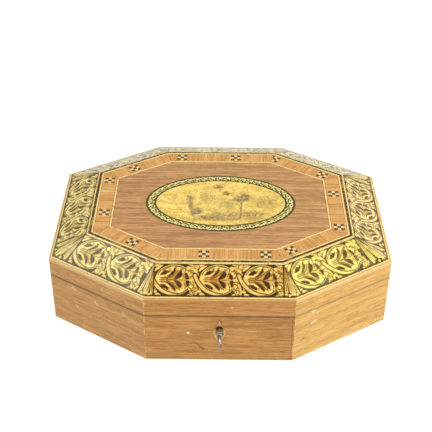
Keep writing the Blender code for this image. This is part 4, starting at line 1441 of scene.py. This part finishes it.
def link_screws(height):
    """Three screws along the link plate."""
    low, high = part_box("link_plate")
    middle = (low.y + high.y) / 2
    along = (low.x + LINK_SCREW_INSET, 0, high.x - LINK_SCREW_INSET)
    return [((x, middle, height), DOWN) for x in along]


def metalwork():
    """Lock, link plate, hinges and key."""
    brass = (metal_finish("Old brass", (0.66, 0.47, 0.20), (0.36, 0.24, 0.10), 0.28), "brass")
    steel = (metal_finish("Old steel", (0.46, 0.41, 0.34), (0.20, 0.165, 0.125), 0.34), "steel")
    lid_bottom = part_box("lid_skirt_front")[0].z
    plates = [
        ("lock", "box_lock", "case", lock_screws()),
        ("link_plate", "lock_link_plate", "lid", link_screws(lid_bottom)),
    ]
    for hand in ("left", "right"):
        lower, upper = f"hinge_{hand}_base_leaf", f"hinge_{hand}_lid_leaf"
        plates.append((lower, f"{hand}_hinge_lower_leaf", "case", leaf_screws(lower, BASE_TOP, UP)))
        plates.append((upper, f"{hand}_hinge_upper_leaf", "lid", leaf_screws(upper, lid_bottom, DOWN)))
        dress(f"hinge_{hand}_pin", f"{hand}_hinge_rivet", LINE_EDGE, brass, "case")
    head = screw_head()
    for node, name, body, screws in plates:
        dress(node, name, PLATE_EDGE, brass, body, holes=screws)
        drive(head, name, brass, body, screws)
    bpy.data.objects.remove(head)
    dress("key", "lock_key", PLATE_EDGE, steel, "key")


# Camera, light and floor

CAMERA_PLACE = (-0.000777, -0.71921, 0.57356)
CAMERA_AZIMUTH = math.radians(0.272)
CAMERA_ELEVATION = math.radians(35.208)
CAMERA_ROLL = math.radians(0.4)
CAMERA_LENS = 78.55
SENSOR = 36.0
LIT_SPOT = Vector((0, 0, 0.05))
WHITE = (1, 1, 1, 1)
ROOM_LIGHT = 0.44
FLOOR_GLOW = 0.88
FLOOR_SIZE = 8
FLOOR_DROP = 0.0002

# Each lamp's name, place, size and power
LAMPS = [
    ("Right light", (1.3, -0.35, 0.8), 0.7, 19),
    ("Front light", (-0.3, -1.1, 1.6), 0.9, 14),
    ("Back left light", (-0.8, 0.7, 1.5), 0.6, 10),
]


def camera():
    """The photograph's viewpoint."""
    data = bpy.data.cameras.new("Camera")
    data.lens = CAMERA_LENS
    data.sensor_width = SENSOR
    data.sensor_fit = "HORIZONTAL"
    data.clip_start = 0.01
    turns = [(CAMERA_AZIMUTH, "Z"), (math.pi / 2 - CAMERA_ELEVATION, "X"), (CAMERA_ROLL, "Z")]
    azimuth, elevation, roll = [Matrix.Rotation(angle, 4, axis) for angle, axis in turns]
    obj = bpy.data.objects.new("Camera", data)
    obj.matrix_world = Matrix.Translation(CAMERA_PLACE) @ azimuth @ elevation @ roll
    bpy.context.scene.collection.objects.link(obj)
    bpy.context.scene.camera = obj


def lamp(name, place, size, power):
    """A soft white square light that faces the box."""
    data = bpy.data.lights.new(name, "AREA")
    data.shape = "SQUARE"
    data.size = size
    data.energy = power
    obj = bpy.data.objects.new(name, data)
    obj.location = place
    obj.rotation_euler = (Vector(place) - LIT_SPOT).to_track_quat("Z", "Y").to_euler()
    bpy.context.scene.collection.objects.link(obj)


def studio():
    """White surroundings, a white floor and soft lights."""
    world = bpy.data.worlds.new("White room")
    world.use_nodes = True
    set_sockets(world.node_tree.nodes["Background"], {"Color": WHITE, "Strength": ROOM_LIGHT})
    bpy.context.scene.world = world
    bpy.context.scene.view_settings.view_transform = "Standard"
    for settings in LAMPS:
        lamp(*settings)
    deselect()
    bpy.ops.mesh.primitive_plane_add(size=FLOOR_SIZE, location=(0, 0, -FLOOR_DROP))
    floor = bpy.context.object
    floor.name = "floor"
    paper = bpy.data.materials.new("White paper")
    paper.use_nodes = True
    looks = {"Base Color": (0.2, 0.2, 0.2, 1), "Roughness": 1.0, "Specular IOR Level": 0.0}
    glow = {"Emission Color": WHITE, "Emission Strength": FLOOR_GLOW}
    set_sockets(paper.node_tree.nodes["Principled BSDF"], looks | glow)
    floor.data.materials.append(paper)


def writing_box():
    """The whole box in its looks."""
    sides = plan_sides()
    veneers = [side_finish(side) for side in sides]
    case(sides, veneers)
    lid(sides, veneers)
    chequers(sides)
    oval()
    metalwork()


camera()
studio()
writing_box()
